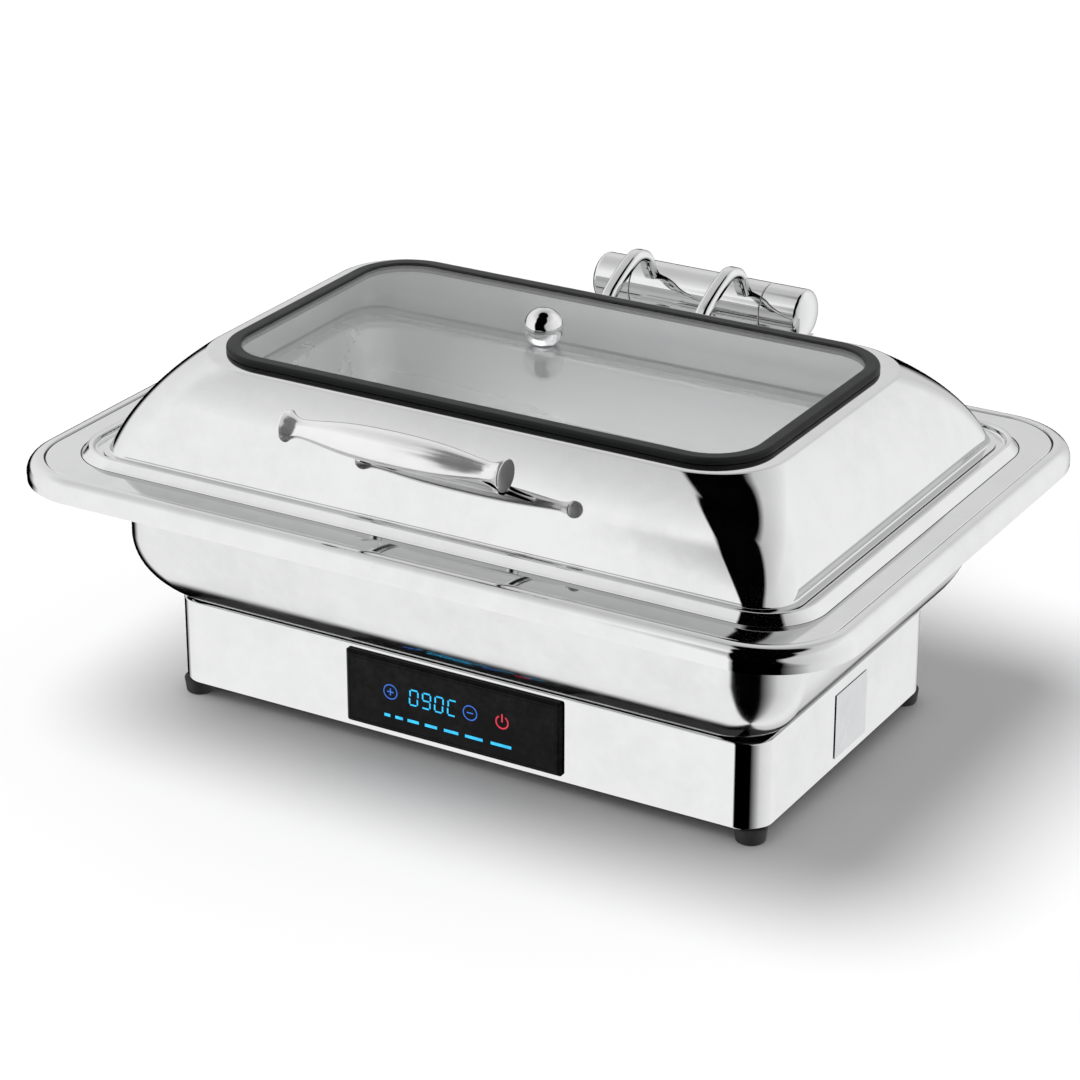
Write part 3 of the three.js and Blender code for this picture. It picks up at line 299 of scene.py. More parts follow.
def circuitBoard(name):
    material, tree, shader, vector = startMaterial(name, Coat_Weight=0.3)
    tracks = add(tree, "ShaderNodeTexBrick", offset=0.5)
    tracks.inputs["Scale"].default_value = 90.0
    tracks.inputs["Mortar Size"].default_value = 0.03
    tracks.inputs["Color1"].default_value = (0.015, 0.12, 0.05, 1)
    tracks.inputs["Color2"].default_value = (0.02, 0.15, 0.06, 1)
    tracks.inputs["Mortar"].default_value = (0.06, 0.3, 0.12, 1)
    link(tree, vector, tracks.inputs["Vector"])
    skin = place(tree, mouldedSkin, vector, Scale=800.0, Low_Roughness=0.35, High_Roughness=0.5)
    paint(tree, shader, tracks.outputs["Color"], skin.outputs["Roughness"])
    bump(tree, shader, tracks.outputs["Fac"], 0.3, 0.0003)
    return material


def clearGlass(name):
    material, tree, shader, vector = startMaterial(name, IOR=1.5, Transmission_Weight=1.0)
    marks = place(tree, smudges, vector, Scale=7.0, Low_Roughness=0.0, High_Roughness=0.012)
    clear = tint(tree, marks.outputs["Mask"], (0.99, 1.0, 0.998), (0.975, 0.985, 0.982))
    paint(tree, shader, clear, marks.outputs["Roughness"])
    # Lamps shine straight through the pane, so that the pan under it is lit.
    path = add(tree, "ShaderNodeLightPath")
    through = add(tree, "ShaderNodeBsdfTransparent")
    mixed = add(tree, "ShaderNodeMixShader")
    link(tree, path.outputs["Is Shadow Ray"], mixed.inputs["Fac"])
    link(tree, shader.outputs[0], mixed.inputs[1])
    link(tree, through.outputs[0], mixed.inputs[2])
    link(tree, mixed.outputs[0], tree.nodes["Material Output"].inputs["Surface"])
    return material


def glow(name, color, strength):
    material, tree, shader, vector = startMaterial(name, Roughness=0.3)
    shader.inputs["Base Color"].default_value = (0.01, 0.01, 0.012, 1)
    uneven = noise(tree, vector, 260.0, 2.0)
    dim = tuple(0.72 * c for c in color)
    link(tree, tint(tree, mapRange(tree, uneven, 0.0, 1.0, 0.35, 0.65), dim, color), shader.inputs["Emission Color"])
    shader.inputs["Emission Strength"].default_value = strength
    return material


finishes = {
    "polished_steel": polishedSteel("mirror polished steel", 0.03, 0.07, (0.95, 0.952, 0.955), 0.00012),
    "tub_steel": polishedSteel("softly polished steel", 0.1, 0.17, (0.92, 0.922, 0.925), 0.00015),
    "grip_steel": polishedSteel("hand polished steel", 0.15, 0.2, (0.97, 0.97, 0.972), 0.00005, 0.85),
    "satin_steel": brushedMetal("satin steel", (0.86, 0.865, 0.87), 0.24, 0.36, 1100.0, 0.0002),
    "pan_steel": brushedMetal("brushed pan steel", (0.86, 0.863, 0.866), 0.24, 0.36, 1100.0, 0.0002, 0.45),
    "lining_steel": brushedMetal("lid lining steel", (0.95, 0.952, 0.954), 0.14, 0.22, 1300.0, 0.0001, 0.45),
    "plain_aluminium": brushedMetal("rolled aluminium", (0.72, 0.73, 0.74), 0.32, 0.46, 700.0, 0.0003),
    # painted shade: a near-black steel laid on the floor of the rim's creases to draw the dark line there
    "crease_shade_steel": brushedMetal("crease painted as shade", (0.05, 0.05, 0.052), 0.4, 0.6, 900.0, 0.0001),
    "zinc_steel": platedMetal("bright zinc plate", (0.6, 0.62, 0.64), 0.28, 0.45),
    "black_plastic": moulded("black moulding", (0.012, 0.012, 0.013), 0.3, 0.45, 1800.0, 0.15),
    "panel_gloss": glossPanel("dark panel gloss", (0.003, 0.003, 0.0035)),
    "black_rubber": moulded("black rubber", (0.02, 0.02, 0.021), 0.55, 0.75, 1100.0, 0.25),
    "gasket_rubber": moulded("window gasket rubber", (0.006, 0.0065, 0.007), 0.3, 0.42, 1300.0, 0.1, 0.04,
                             Specular_IOR_Level=0.16),
    "circuit_board": circuitBoard("green circuit board"),
    "red_sleeve": moulded("red sleeve", (0.3, 0.02, 0.015), 0.4, 0.6, 1500.0, 0.2),
    "grey_sleeve": moulded("grey ribbon", (0.36, 0.37, 0.38), 0.4, 0.6, 1200.0, 0.2),
    "label_foil": brushedMetal("blank label foil", (0.86, 0.87, 0.88), 0.2, 0.3, 1500.0, 0.0001),
    "clear_glass": clearGlass("clear tempered glass"),
    "cyan_glow": glow("cyan figures", (0.02, 0.55, 1.0), 1.3),
    "blue_glow": glow("blue signs", (0.03, 0.2, 0.9), 0.9),
    "red_glow": glow("red sign", (0.9, 0.02, 0.06), 0.9),
}
print("materials made")


# ---- shapes ----

def rectangle(bm, halfX, halfY):
    verts = bmesh.ops.create_grid(bm, x_segments=1, y_segments=1, size=1)["verts"]
    bmesh.ops.scale(bm, vec=(halfX, halfY, 1), verts=verts)
    return verts


def roundCorners(bm, verts, radius, segments):
    bmesh.ops.bevel(bm, geom=verts, affect="VERTICES", offset=radius, offset_type="OFFSET", segments=segments,
                    profile=0.5, material=-1)


def outline(bm, level):  # a rounded rectangle: half length, half depth, corner radius, height
    halfX, halfY, radius, z = level
    before = set(bm.edges)
    corners = rectangle(bm, halfX, halfY)
    bmesh.ops.translate(bm, vec=(0, 0, z), verts=corners)
    roundCorners(bm, corners, radius, cornerSteps)
    edges = [e for e in bm.edges if e not in before]
    bmesh.ops.delete(bm, geom=list({f for e in edges for f in e.link_faces}), context="FACES_ONLY")
    return edges


def loft(levels, closed=False):  # outlines bridged in turn, and capped unless the profile is closed
    bm = bmesh.new()
    loops = [outline(bm, level) for level in levels]
    for first, second in zip(loops, loops[1:] + ([loops[0]] if closed else [])):
        bmesh.ops.bridge_loops(bm, edges=first + second)
    if not closed:
        for loop in (loops[0], loops[-1]):
            bmesh.ops.edgeloop_fill(bm, edges=loop)
    return bm


def pressed(skin, thickness):  # the skin's levels, then the same skin moved by the sheet's thickness
    other = []
    for i, (halfX, halfY, radius, z) in enumerate(skin):
        before, after = skin[max(i - 1, 0)], skin[min(i + 1, len(skin) - 1)]
        normals = [Vector((a[3] - b[3], b[0] - a[0])) for a, b in ((before, skin[i]), (skin[i], after))]
        normals = [n.normalized() for n in normals if n.length > 1e-9]
        mean = sum(normals, Vector((0, 0))).normalized()
        reach = thickness / mean.dot(normals[-1])
        out = mean.x * reach
        other.append((halfX + out, halfY + out, radius + out, z + mean.y * reach))
    return list(skin) + other[::-1]


def bend(half, inset, z, across, up, start, end, steps, radii):  # levels along an elliptical bend, degrees
    levels = []
    for i in range(steps + 1):
        share = i / steps
        angle = math.radians(start + (end - start) * share)
        out = across * math.cos(angle) - inset
        radius = radii[0] + (radii[1] - radii[0]) * share
        levels.append((half[0] + out, half[1] + out, radius, z + up * math.sin(angle)))
    return levels


def level(half, inset, radius, z):
    return half[0] - inset, half[1] - inset, radius, z


def smoothLine(points, steps):  # a centripetal curve through 2-D points
    points = [Vector(p) for p in points]
    ends = [2 * points[0] - points[1], *points, 2 * points[-1] - points[-2]]
    line = []
    for i in range(len(points) - 1):
        p = ends[i:i + 4]
        t = [0.0]
        for a, b in zip(p, p[1:]):
            t.append(t[-1] + max((b - a).length, 1e-6) ** 0.5)
        for k in range(steps):
            u = t[1] + (t[2] - t[1]) * k / steps
            a = [p[j] * ((t[j + 1] - u) / (t[j + 1] - t[j])) + p[j + 1] * ((u - t[j]) / (t[j + 1] - t[j]))
                 for j in range(3)]
            b = [a[j] * ((t[j + 2] - u) / (t[j + 2] - t[j])) + a[j + 1] * ((u - t[j]) / (t[j + 2] - t[j]))
                 for j in range(2)]
            line.append(b[0] * ((t[2] - u) / (t[2] - t[1])) + b[1] * ((u - t[1]) / (t[2] - t[1])))
    return line + [points[-1]]


def turned(profile, steps=48, place=None, closed=False):  # spins (radius, height) points round Z
    bm = bmesh.new()
    verts = [bm.verts.new((radius, 0, height)) for radius, height in profile]
    for a, b in zip(verts, verts[1:]):
        bm.edges.new((a, b))
    if closed:
        bm.edges.new((verts[-1], verts[0]))
    bmesh.ops.spin(bm, geom=bm.verts[:] + bm.edges[:], axis=(0, 0, 1), cent=(0, 0, 0), angle=turn,
                   steps=steps, use_merge=True)
    bmesh.ops.remove_doubles(bm, verts=bm.verts, dist=1e-3)
    if place is not None:
        bmesh.ops.transform(bm, matrix=place, verts=bm.verts)
    return bm


def arc(cx, cy, radius, start, end, steps):
    return [(cx + radius * math.cos(math.radians(start + (end - start) * i / steps)),
             cy + radius * math.sin(math.radians(start + (end - start) * i / steps))) for i in range(steps + 1)]


def toObject(bm, name):
    mesh = bpy.data.meshes.new(name)
    bm.to_mesh(mesh)
    bm.free()
    piece = bpy.data.objects.new(name, mesh)
    bpy.context.scene.collection.objects.link(piece)
    return piece


def finishPiece(bm, name, body, slot, stands=(), finish=None, sharp=38):
    bmesh.ops.remove_doubles(bm, verts=bm.verts, dist=1e-3)
    bmesh.ops.recalc_face_normals(bm, faces=bm.faces)
    bmesh.ops.transform(bm, matrix=toFrame, verts=bm.verts)
    for face in bm.faces:
        face.smooth = True
    for edge in bm.edges:
        if len(edge.link_faces) == 2 and edge.calc_face_angle(0) > math.radians(sharp):
            edge.smooth = False
    piece = toObject(bm, name)
    piece.data.materials.append(finishes[finish or slot])
    weighted = piece.modifiers.new("even shading", "WEIGHTED_NORMAL")
    weighted.keep_sharp = True
    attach(piece, body)
    if stands:
        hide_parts(*stands)
    return piece


def refined(node, name, body, slot, width, finish=None):  # a copy of a CAD node with its edges eased
    bm = bmesh.new()
    bm.from_mesh(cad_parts[node].data)
    bmesh.ops.transform(bm, matrix=toFrame.inverted(), verts=bm.verts)
    bmesh.ops.remove_doubles(bm, verts=bm.verts, dist=2e-3)
    bmesh.ops.dissolve_limit(bm, angle_limit=math.radians(1), verts=bm.verts, edges=bm.edges)
    edges = [e for e in bm.edges if len(e.link_faces) == 2 and e.calc_face_angle(0) > math.radians(40)]
    bmesh.ops.bevel(bm, geom=edges, affect="EDGES", offset=width, offset_type="OFFSET", segments=2,
                    profile=0.5, material=-1, clamp_overlap=True)
    return finishPiece(bm, name, body, slot, [node], finish)


# ---- base ----
baseSizes = {"radius": 22, "sheet": 1.2, "bottomFlange": 26, "lip": 1.5, "edge": 1.6, "windowMargin": 5.5,
             "socket": (14.2, 10.5)}


def cutWindow(bm, y, lowX, highX, lowZ, highZ):  # a hole through both skins of a flat wall
    def wall():
        return [f for f in bm.faces if abs(f.normal.y) > 0.9 and abs(f.calc_center_median().y - y) < 3]
    for point, normal in (((lowX, 0, 0), (1, 0, 0)), ((highX, 0, 0), (1, 0, 0)),
                          ((0, 0, lowZ), (0, 0, 1)), ((0, 0, highZ), (0, 0, 1))):
        faces = wall()
        edges = list({e for f in faces for e in f.edges})
        verts = list({v for f in faces for v in f.verts})
        bmesh.ops.bisect_plane(bm, geom=faces + edges + verts, plane_co=point, plane_no=normal)
    middles = [(f, f.calc_center_median()) for f in wall()]
    inside = [f for f, middle in middles if lowX < middle.x < highX and lowZ < middle.z < highZ]
    bmesh.ops.delete(bm, geom=inside, context="FACES")
    rim = [e for e in bm.edges if len(e.link_faces) == 1]
    bmesh.ops.bridge_loops(bm, edges=rim)


def baseShell():
    s = baseSizes
    half = halfOf("base_housing")
    low, high = extent("base_housing")
    r, e = s["radius"], s["edge"]
    skin = [level(half, s["bottomFlange"], 4, low.z), level(half, e + 4, r - e - 4, low.z)]
    skin += bend(half, e, low.z + e, e, e, -90, 0, 6, (r - e, r))
    skin += bend(half, e, high.z - e, e, e, 0, 60, 5, (r, r - e))
    skin.append(level(half, s["sheet"] + s["lip"], r - s["sheet"] - s["lip"], high.z))
    bm = loft(pressed(skin, s["sheet"]), closed=True)
    bm.normal_update()
    for node, side in (("control_panel_housing", -1), ("power_inlet", 1)):
        nodeLow, nodeHigh = extent(node)
        if side < 0:
            margin = s["windowMargin"]
            cutWindow(bm, -half[1], nodeLow.x + margin, nodeHigh.x - margin, nodeLow.z + margin, nodeHigh.z - margin)
        else:
            x, _, z = centreOf(node)
            acrossX, acrossZ = s["socket"]
            cutWindow(bm, half[1], x - acrossX, x + acrossX, z - acrossZ, z + acrossZ)
    return finishPiece(bm, "base_shell", "base", "polished_steel", ["base_housing"])


baseShell()

footSizes = {"recess": 5.6, "depth": 5, "bore": 2.9}
for corner in corners:
    low, high = extent("foot_" + corner)
    x, y, _ = centreOf("foot_" + corner)
    radius, top = (high.x - low.x) / 2, high.z
    profile = [(footSizes["recess"], 0), (radius - 2.6, 0), *arc(radius - 2.6, 1.4, 1.4, -90, 0, 4)]
    profile += [(radius, top - 1), (radius - 0.6, top), (footSizes["bore"], top)]
    profile += [(footSizes["bore"], footSizes["depth"]), (footSizes["recess"], footSizes["depth"])]
    bm = turned(profile, 40, Matrix.Translation((x, y, 0)), closed=True)
    finishPiece(bm, "rubber_foot_" + corner, "base", "black_rubber", ["foot_" + corner])
    low, high = extent("foot_screw_" + corner)
    head = (high.x - low.x) / 2
    profile = [(0, low.z + 1.2), (1.4, low.z + 1.2), (1.5, low.z), (head - 0.8, low.z), (head, low.z + 1)]
    profile += [(head, 4.7), (2.5, 4.7), (2.5, high.z - 0.5), (2, high.z), (0, high.z)]
    bm = turned(profile, 32, Matrix.Translation((x, y, 0)))
    finishPiece(bm, "foot_fixing_" + corner, "base", "zinc_steel", ["foot_screw_" + corner])
print("base made")

# ---- control panel ----
panelSizes = {"bevel": 2.5, "proud": 4, "boxMargin": 6, "glassMargin": 4, "recess": 1.5, "wall": 2,
              "ledgeSide": 8, "ledgeEnd": 5}


def panelHousing():
    s = panelSizes
    low, high = extent("control_panel_housing")
    front, inside = low.y - middleY, high.y - middleY
    back = front + s["proud"]
    zMid = (low.z + high.z) / 2
    half = ((high.x - low.x) / 2, (high.z - low.z) / 2)
    m, g, w = s["boxMargin"], s["glassMargin"], s["wall"]
    # Levels run from the bezel's back edge round the front into the glass's seat, and on through the box.
    levels = [level(half, m, 0.6, -back), level(half, 0.4, 1.6, -back), level(half, 0, 2, -back + 0.4)]
    levels += [level(half, 0, 2, -front - s["bevel"]), level(half, s["bevel"] - 0.4, 1.4, -front - 0.3)]
    levels += [level(half, s["bevel"] + 0.2, 1.2, -front), level(half, g, 0.6, -front)]
    levels += [level(half, g, 0.6, -front - s["recess"]), level(half, m + s["ledgeEnd"], 0.6, -front - s["recess"])]
    levels += [level(half, m + s["ledgeEnd"], 0.6, -back - 0.5), level(half, m + w, 0.6, -back - 0.5)]
    levels += [level(half, m + w, 0.6, -inside), level(half, m, 0.6, -inside)]
    bm = loft(levels, closed=True)
    bmesh.ops.rotate(bm, cent=(0, 0, 0), matrix=Matrix.Rotation(math.pi / 2, 3, "X"), verts=bm.verts)
    bmesh.ops.translate(bm, vec=(0, 0, zMid), verts=bm.verts)
    return finishPiece(bm, "panel_bezel", "base", "black_plastic", ["control_panel_housing"], "panel_gloss", 30)


panelHousing()


# Lit figures, drawn flat (x, height above the panel's foot) and just proud of the glass.
displaySizes = {"digitHeight": 12, "digitWidth": 6.6, "stroke": 1.15, "slant": 0.09, "rowZ": 50.2, "barZ": 31,
                "depth": 0.12, "digitX": (-31.2, -20.6, -10.0, 0.9)}
segments = {"a": (0, 1, 0), "b": (1, 0.5, 1), "c": (1, -0.5, 1), "d": (0, -1, 0), "e": (-1, -0.5, 1),
            "f": (-1, 0.5, 1), "g": (0, 0, 0)}
reading = ("abcdef", "abcdfg", "abcdef", "adef")


def flatBar(bm, x, z, width, height, angle=0.0):
    verts = rectangle(bm, width / 2, height / 2)
    bmesh.ops.rotate(bm, cent=(0, 0, 0), matrix=Matrix.Rotation(angle, 3, "Z"), verts=verts)
    bmesh.ops.translate(bm, vec=(x, z, 0), verts=verts)


def flatArc(bm, x, z, inner, outer, start, sweep):
    verts = [bm.verts.new((radius * math.cos(start), radius * math.sin(start), 0)) for radius in (inner, outer)]
    edge = bm.edges.new(verts)
    bmesh.ops.spin(bm, geom=verts + [edge], axis=(0, 0, 1), cent=(0, 0, 0), angle=sweep, steps=36,
                   use_merge=sweep >= turn)
    ring = set(verts)
    grown = True
    while grown:
        near = {e.other_vert(v) for v in ring for e in v.link_edges} - ring
        ring |= near
        grown = bool(near)
    bmesh.ops.translate(bm, vec=(x, z, 0), verts=list(ring))


def sign(bm, name, slot, finish):
    bmesh.ops.remove_doubles(bm, verts=bm.verts, dist=1e-3)
    thick = bmesh.ops.extrude_face_region(bm, geom=bm.faces[:])["geom"]
    moved = [g for g in thick if isinstance(g, bmesh.types.BMVert)]
    bmesh.ops.translate(bm, vec=(0, 0, displaySizes["depth"]), verts=moved)
    bmesh.ops.rotate(bm, cent=(0, 0, 0), matrix=Matrix.Rotation(math.pi / 2, 3, "X"), verts=bm.verts)
    glassFront = extent("control_panel_glass")[0].y - middleY
    bmesh.ops.translate(bm, vec=(0, glassFront - 0.02, 0), verts=bm.verts)
    return finishPiece(bm, name, "base", slot, (), finish)


def displayFigures():
    s = displaySizes
    bm = bmesh.new()
    for x, lit in zip(s["digitX"], reading):
        for key in lit:
            across, up, upright = segments[key]
            z = up * s["digitHeight"] / 2
            long = s["digitHeight"] / 2 - 1.5 if upright else s["digitWidth"] - 1.2
            size = (s["stroke"], long) if upright else (long, s["stroke"])
            flatBar(bm, x + across * s["digitWidth"] / 2 + z * s["slant"], s["rowZ"] + z, *size)
    for x, width in zip((-54, -44, -32, -17, 0, 19, 41.5), (5, 6.4, 9.6, 10.2, 12, 14.7, 17)):
        flatBar(bm, x, s["barZ"], width, 2.3)
    return sign(bm, "display_figures", "panel_gloss", "cyan_glow")


def roundSigns():
    s = displaySizes
    bm = bmesh.new()
    for x, plus in ((-51, True), (16, False)):
        flatArc(bm, x, s["rowZ"], 5.2, 6.0, 0, turn)
        flatBar(bm, x, s["rowZ"], 5.4, 0.9)
        if plus:
            flatBar(bm, x, s["rowZ"] + 1.7, 0.9, 2.1)
            flatBar(bm, x, s["rowZ"] - 1.7, 0.9, 2.1)
    sign(bm, "step_signs", "panel_gloss", "blue_glow")
    bm = bmesh.new()
    flatArc(bm, 42.5, s["rowZ"] - 0.6, 4.3, 5.5, math.radians(122), math.radians(296))
    flatBar(bm, 42.5, s["rowZ"] + 2.6, 1.2, 6.4)
    sign(bm, "power_sign", "panel_gloss", "red_glow")


displayFigures()
roundSigns()
print("control panel made")

# ---- water pan and rim ----
tubSizes = {"flange": 7, "wallRadius": 40, "bottomRadius": 22, "across": 74, "up": 68, "sheet": 1.2, "brim": 3}


def waterTub():
    s = tubSizes
    low, high = extent("water_pan")
    outer = halfOf("water_pan")
    half = (outer[0] - s["flange"], outer[1] - s["flange"])
    top, brim, r = high.z - s["sheet"], s["brim"], s["wallRadius"]
    skin = bend(half, s["across"], low.z + s["up"], s["across"], s["up"], -90, 0, 26, (s["bottomRadius"], r))
    skin += bend(half, -brim, top - brim, -brim, brim, 0, 90, 6, (r, r + brim))
    skin.append(level(half, -s["flange"], r + s["flange"], top))
    return finishPiece(loft(pressed(skin, s["sheet"])), "water_tub", "water_pan", "polished_steel", ["water_pan"],
                       "tub_steel")


rimSizes = {"crease": 0.35, "sheet": 1.2, "openingRadius": 46, "lipDepth": 5, "lipBend": 3, "ledgeRise": 1.7,
            "ringWidth": 9.7, "ringRise": 6.5, "ringBend": 2, "ringRadius": 45, "rollRise": 0.9, "apronWidth": 10,
            "apronDrop": 16, "apronRadius": 66, "ringHalf": (298, 198), "openingHalf": (256.5, 154), "band": 200.6}


def pressedRim():
    s = rimSizes
    apron = halfOf("rim_frame")
    band, ledge, top = s["band"], s["band"] + s["ledgeRise"], s["band"] + s["ringRise"]
    opening, ringHalf, r0, lip = s["openingHalf"], s["ringHalf"], s["openingRadius"], s["lipBend"]
    width, foot, curve = s["ringWidth"], s["ringRadius"], s["ringBend"]
    r1 = foot - width
    skin = [level(opening, 0, r0, ledge - s["lipDepth"])]
    skin += bend(opening, -lip, ledge - lip, -lip, lip, 0, 90, 6, (r0, r0 + lip))
    skin += [level(ringHalf, width + 2.2, r1 - 2.2, ledge), level(ringHalf, width + 1.2, r1 - 1.2, ledge + 0.15)]
    skin += [level(ringHalf, width + 0.5, r1 - 0.5, ledge + 0.7), level(ringHalf, width + 0.1, r1, ledge + 1.5)]
    skin += bend(ringHalf, width - curve, top - curve, -curve, curve, 0, 90, 6, (r1, r1 + curve))
    skin += bend(ringHalf, width - curve - 0.6, top - curve, curve, curve, 90, 34, 5, (r1 + 2.6, r1 + 4.6))
    skin += [level(ringHalf, 2.2, foot - 2.2, band + 1.5), level(ringHalf, 1.2, foot - 1.2, band + 0.6)]
    skin += [level(ringHalf, inset, foot - inset, band - s["crease"]) for inset in (0.4, -0.4)]
    skin.append(level(ringHalf, -0.9, foot + 0.9, band))
    roll, r2 = s["apronWidth"], s["apronRadius"]
    rollTop, drop = band + s["rollRise"], s["apronDrop"] - 3
    crease = s["crease"]
    for inset, z in ((4.4, band), (4.0, band - crease), (3.0, band - crease), (2.6, rollTop - 0.12), (1.8, rollTop)):
        skin.append(level(apron, roll + inset, r2 - roll - inset, z))
    skin += bend(apron, roll, rollTop - drop, roll, drop, 90, 0, 16, (r2 - roll, r2))
    skin.append(level(apron, 0, r2, rollTop - s["apronDrop"]))
    bm = loft(pressed(skin, -s["sheet"]), closed=True)
    for face in bm.faces:  # the floor of each crease gets a near-black steel: painted shade for the dark line along the groove
        heights = [v.co.z for v in face.verts]
        if max(heights) < band - crease + 0.01 and min(heights) > band - crease - 0.01:
            face.material_index = 1
    rim = finishPiece(bm, "pressed_rim", "water_pan", "polished_steel", ["rim_frame"])
    rim.data.materials.append(finishes["crease_shade_steel"])
    return rim


waterTub()
pressedRim()
print("water pan made")

# ---- food pan ----
panSizes = {"sheet": 1, "flangeWidth": 11, "flangeRadius": 30, "bodyRadius": 42, "taper": 5, "bottomRadius": 18}


def foodPan():
    s = panSizes
    low, high = extent("food_pan")
    flange = halfOf("food_pan")
    body = (flange[0] - s["flangeWidth"], flange[1] - s["flangeWidth"])
    top, r, corner = high.z - s["sheet"], s["bottomRadius"], s["bodyRadius"]
    inner = corner - s["taper"]
    skin = bend(body, s["taper"] + r, low.z + r, r, r, -90, 0, 12, (inner - r / 2, inner))
    skin += bend(body, -2.5, top - 3, -2.5, 3, 0, 90, 6, (corner, corner - 4))
    skin += [level(flange, 1.6, s["flangeRadius"] - 1.6, top), level(flange, 0, s["flangeRadius"], top - 0.1)]
    bm = loft(pressed(skin, s["sheet"]))
    return finishPiece(bm, "full_size_pan", "food_pan", "satin_steel", ["food_pan"], "pan_steel")


foodPan()
print("food pan made")

# ---- lid ----
lidSizes = {"sheet": 1, "hem": 5, "footRadius": 28, "shoulderRadius": 55, "wallCurve": 122.3, "footLean": 15.5,
            "topLean": 52.2, "edgeCurve": 5.5, "hemRise": 2.1, "gasketRadius": 50, "grip": 5}
lidLow, lidHigh = extent("lid_shell")
lidOuter = halfOf("lid_shell")
lidFoot = (lidOuter[0] - lidSizes["hem"], lidOuter[1] - lidSizes["hem"])
gasketHalf = halfOf("window_gasket")
wallFootZ = lidLow.z + lidSizes["hemRise"]
wallCentreY = lidFoot[1] - lidSizes["wallCurve"] * math.cos(math.radians(lidSizes["footLean"]))
wallCentreZ = wallFootZ - lidSizes["wallCurve"] * math.sin(math.radians(lidSizes["footLean"]))


def lidShell():
    s = lidSizes
    curve, foot, shoulder = s["wallCurve"], s["footRadius"], s["shoulderRadius"]
    footLean, topLean = math.radians(s["footLean"]), math.radians(s["topLean"])
    hemZ = lidLow.z + s["sheet"]
    skin = [level(lidFoot, -s["hem"], foot + s["hem"], hemZ), level(lidFoot, -1.3, foot + 1.3, hemZ)]
    skin += [level(lidFoot, -0.7, foot + 0.7, hemZ + 0.2), level(lidFoot, -0.25, foot + 0.25, hemZ + 0.55)]
    steps = 18
    for i in range(steps + 1):
        lean = footLean + (topLean - footLean) * i / steps
        inset = curve * (math.cos(footLean) - math.cos(lean))
        radius = foot + (shoulder - foot) * i / steps
        skin.append(level(lidFoot, inset, radius, wallCentreZ + curve * math.sin(lean)))
    topInset, topZ = curve * (math.cos(footLean) - math.cos(topLean)), wallCentreZ + curve * math.sin(topLean)
    for i in range(1, 8):
        degrees = s["topLean"] + (90 - s["topLean"]) * i / 7
        lean = math.radians(degrees)
        inset = topInset + s["edgeCurve"] * (math.cos(topLean) - math.cos(lean))
        z = topZ + s["edgeCurve"] * (math.sin(lean) - math.sin(topLean))
        skin.append(level(lidFoot, inset, shoulder - (degrees - s["topLean"]) / 20, z))
    skin.append(level(gasketHalf, s["grip"], s["gasketRadius"] - s["grip"], lidHigh.z))
    bm = loft(pressed(skin, s["sheet"]), closed=True)
    bmesh.ops.recalc_face_normals(bm, faces=bm.faces)
    for face in bm.faces:  # the inside is only brushed
        if face.normal.z < -0.05:
            face.material_index = 1
    dome = finishPiece(bm, "lid_dome", "lid", "polished_steel", ["lid_shell"])
    dome.data.materials.append(finishes["lining_steel"])
    return dome


gasketSizes = {"lip": 3, "round": 2.6, "width": 14, "radius": 50, "foot": 2, "slot": 5.6, "glassGrip": 5, "gap": 0.3}


def windowGasket():
    s = gasketSizes
    low, high = extent("window_gasket")
    glassLow, glassHigh = extent("window_glass")
    w, gap, glass = s["width"], s["gap"], s["width"] - s["glassGrip"]
    sheetTop, sheetUnder = lidHigh.z + gap, lidHigh.z - lidSizes["sheet"] - gap
    lip, rounding = s["lip"], s["round"]
    points = [(lip + 0.3, sheetTop), (lip, sheetTop + 0.4)]
    points += arc(lip + rounding, high.z - rounding, rounding, 180, 90, 6)
    points += [(w - 2, high.z), (w - 1.2, high.z - 0.12), (w - 0.5, high.z - 0.45), (w, glassHigh.z + gap)]
    points += [(glass, glassHigh.z + gap), (glass, glassLow.z - gap), (w, glassLow.z - gap), (w, low.z + 1)]
    points += [(w - 0.4, low.z + 0.3), (w - 1.5, low.z), (s["foot"] + 1, low.z), (s["foot"], low.z + 0.8)]
    points += [(s["foot"], sheetUnder), (s["slot"], sheetUnder), (s["slot"], sheetTop)]
    half = gasketHalf
    bm = loft([level(half, inset, s["radius"] - inset, z) for inset, z in points], closed=True)
    return finishPiece(bm, "window_seal", "lid", "black_rubber", ["window_gasket"], "gasket_rubber")


lidShell()
windowGasket()

knobSizes = {"flat": 3, "bore": 2.7, "boreDepth": 12.3, "cap": 2.6}


def ballKnob():
    s = knobSizes
    low, high = extent("vent_knob")
    radius = (high.x - low.x) / 2
    middle = low.z + radius - s["flat"]
    lowest = -math.degrees(math.asin((radius - s["flat"]) / radius))
    profile = [(0, low.z + s["boreDepth"]), (s["bore"], low.z + s["boreDepth"]), (s["bore"], low.z)]
    ball = arc(0, middle, radius, lowest, 90, 30)
    ball[-1] = (0, high.z)
    x, y, _ = centreOf("vent_knob")
    stand = Matrix.Translation((x, y, 0))
    finishPiece(turned(profile + ball, 64, stand), "ball_knob", "lid", "polished_steel", ["vent_knob"])
    low, high = extent("knob_screw")
    under = extent("window_glass")[0].z - 0.3
    profile = [(0, low.z + 0.9), (1.3, low.z + 0.9), (1.5, low.z), (3.6, low.z), (4.5, low.z + 0.9), (4.5, under - 1),
               (7.7, under - 1), (8, under - 0.7), (8, under), (2.5, under), (2.5, high.z), (0, high.z)]
    finishPiece(turned(profile, 40, stand), "knob_fixing", "lid", "zinc_steel", ["knob_screw"])


ballKnob()


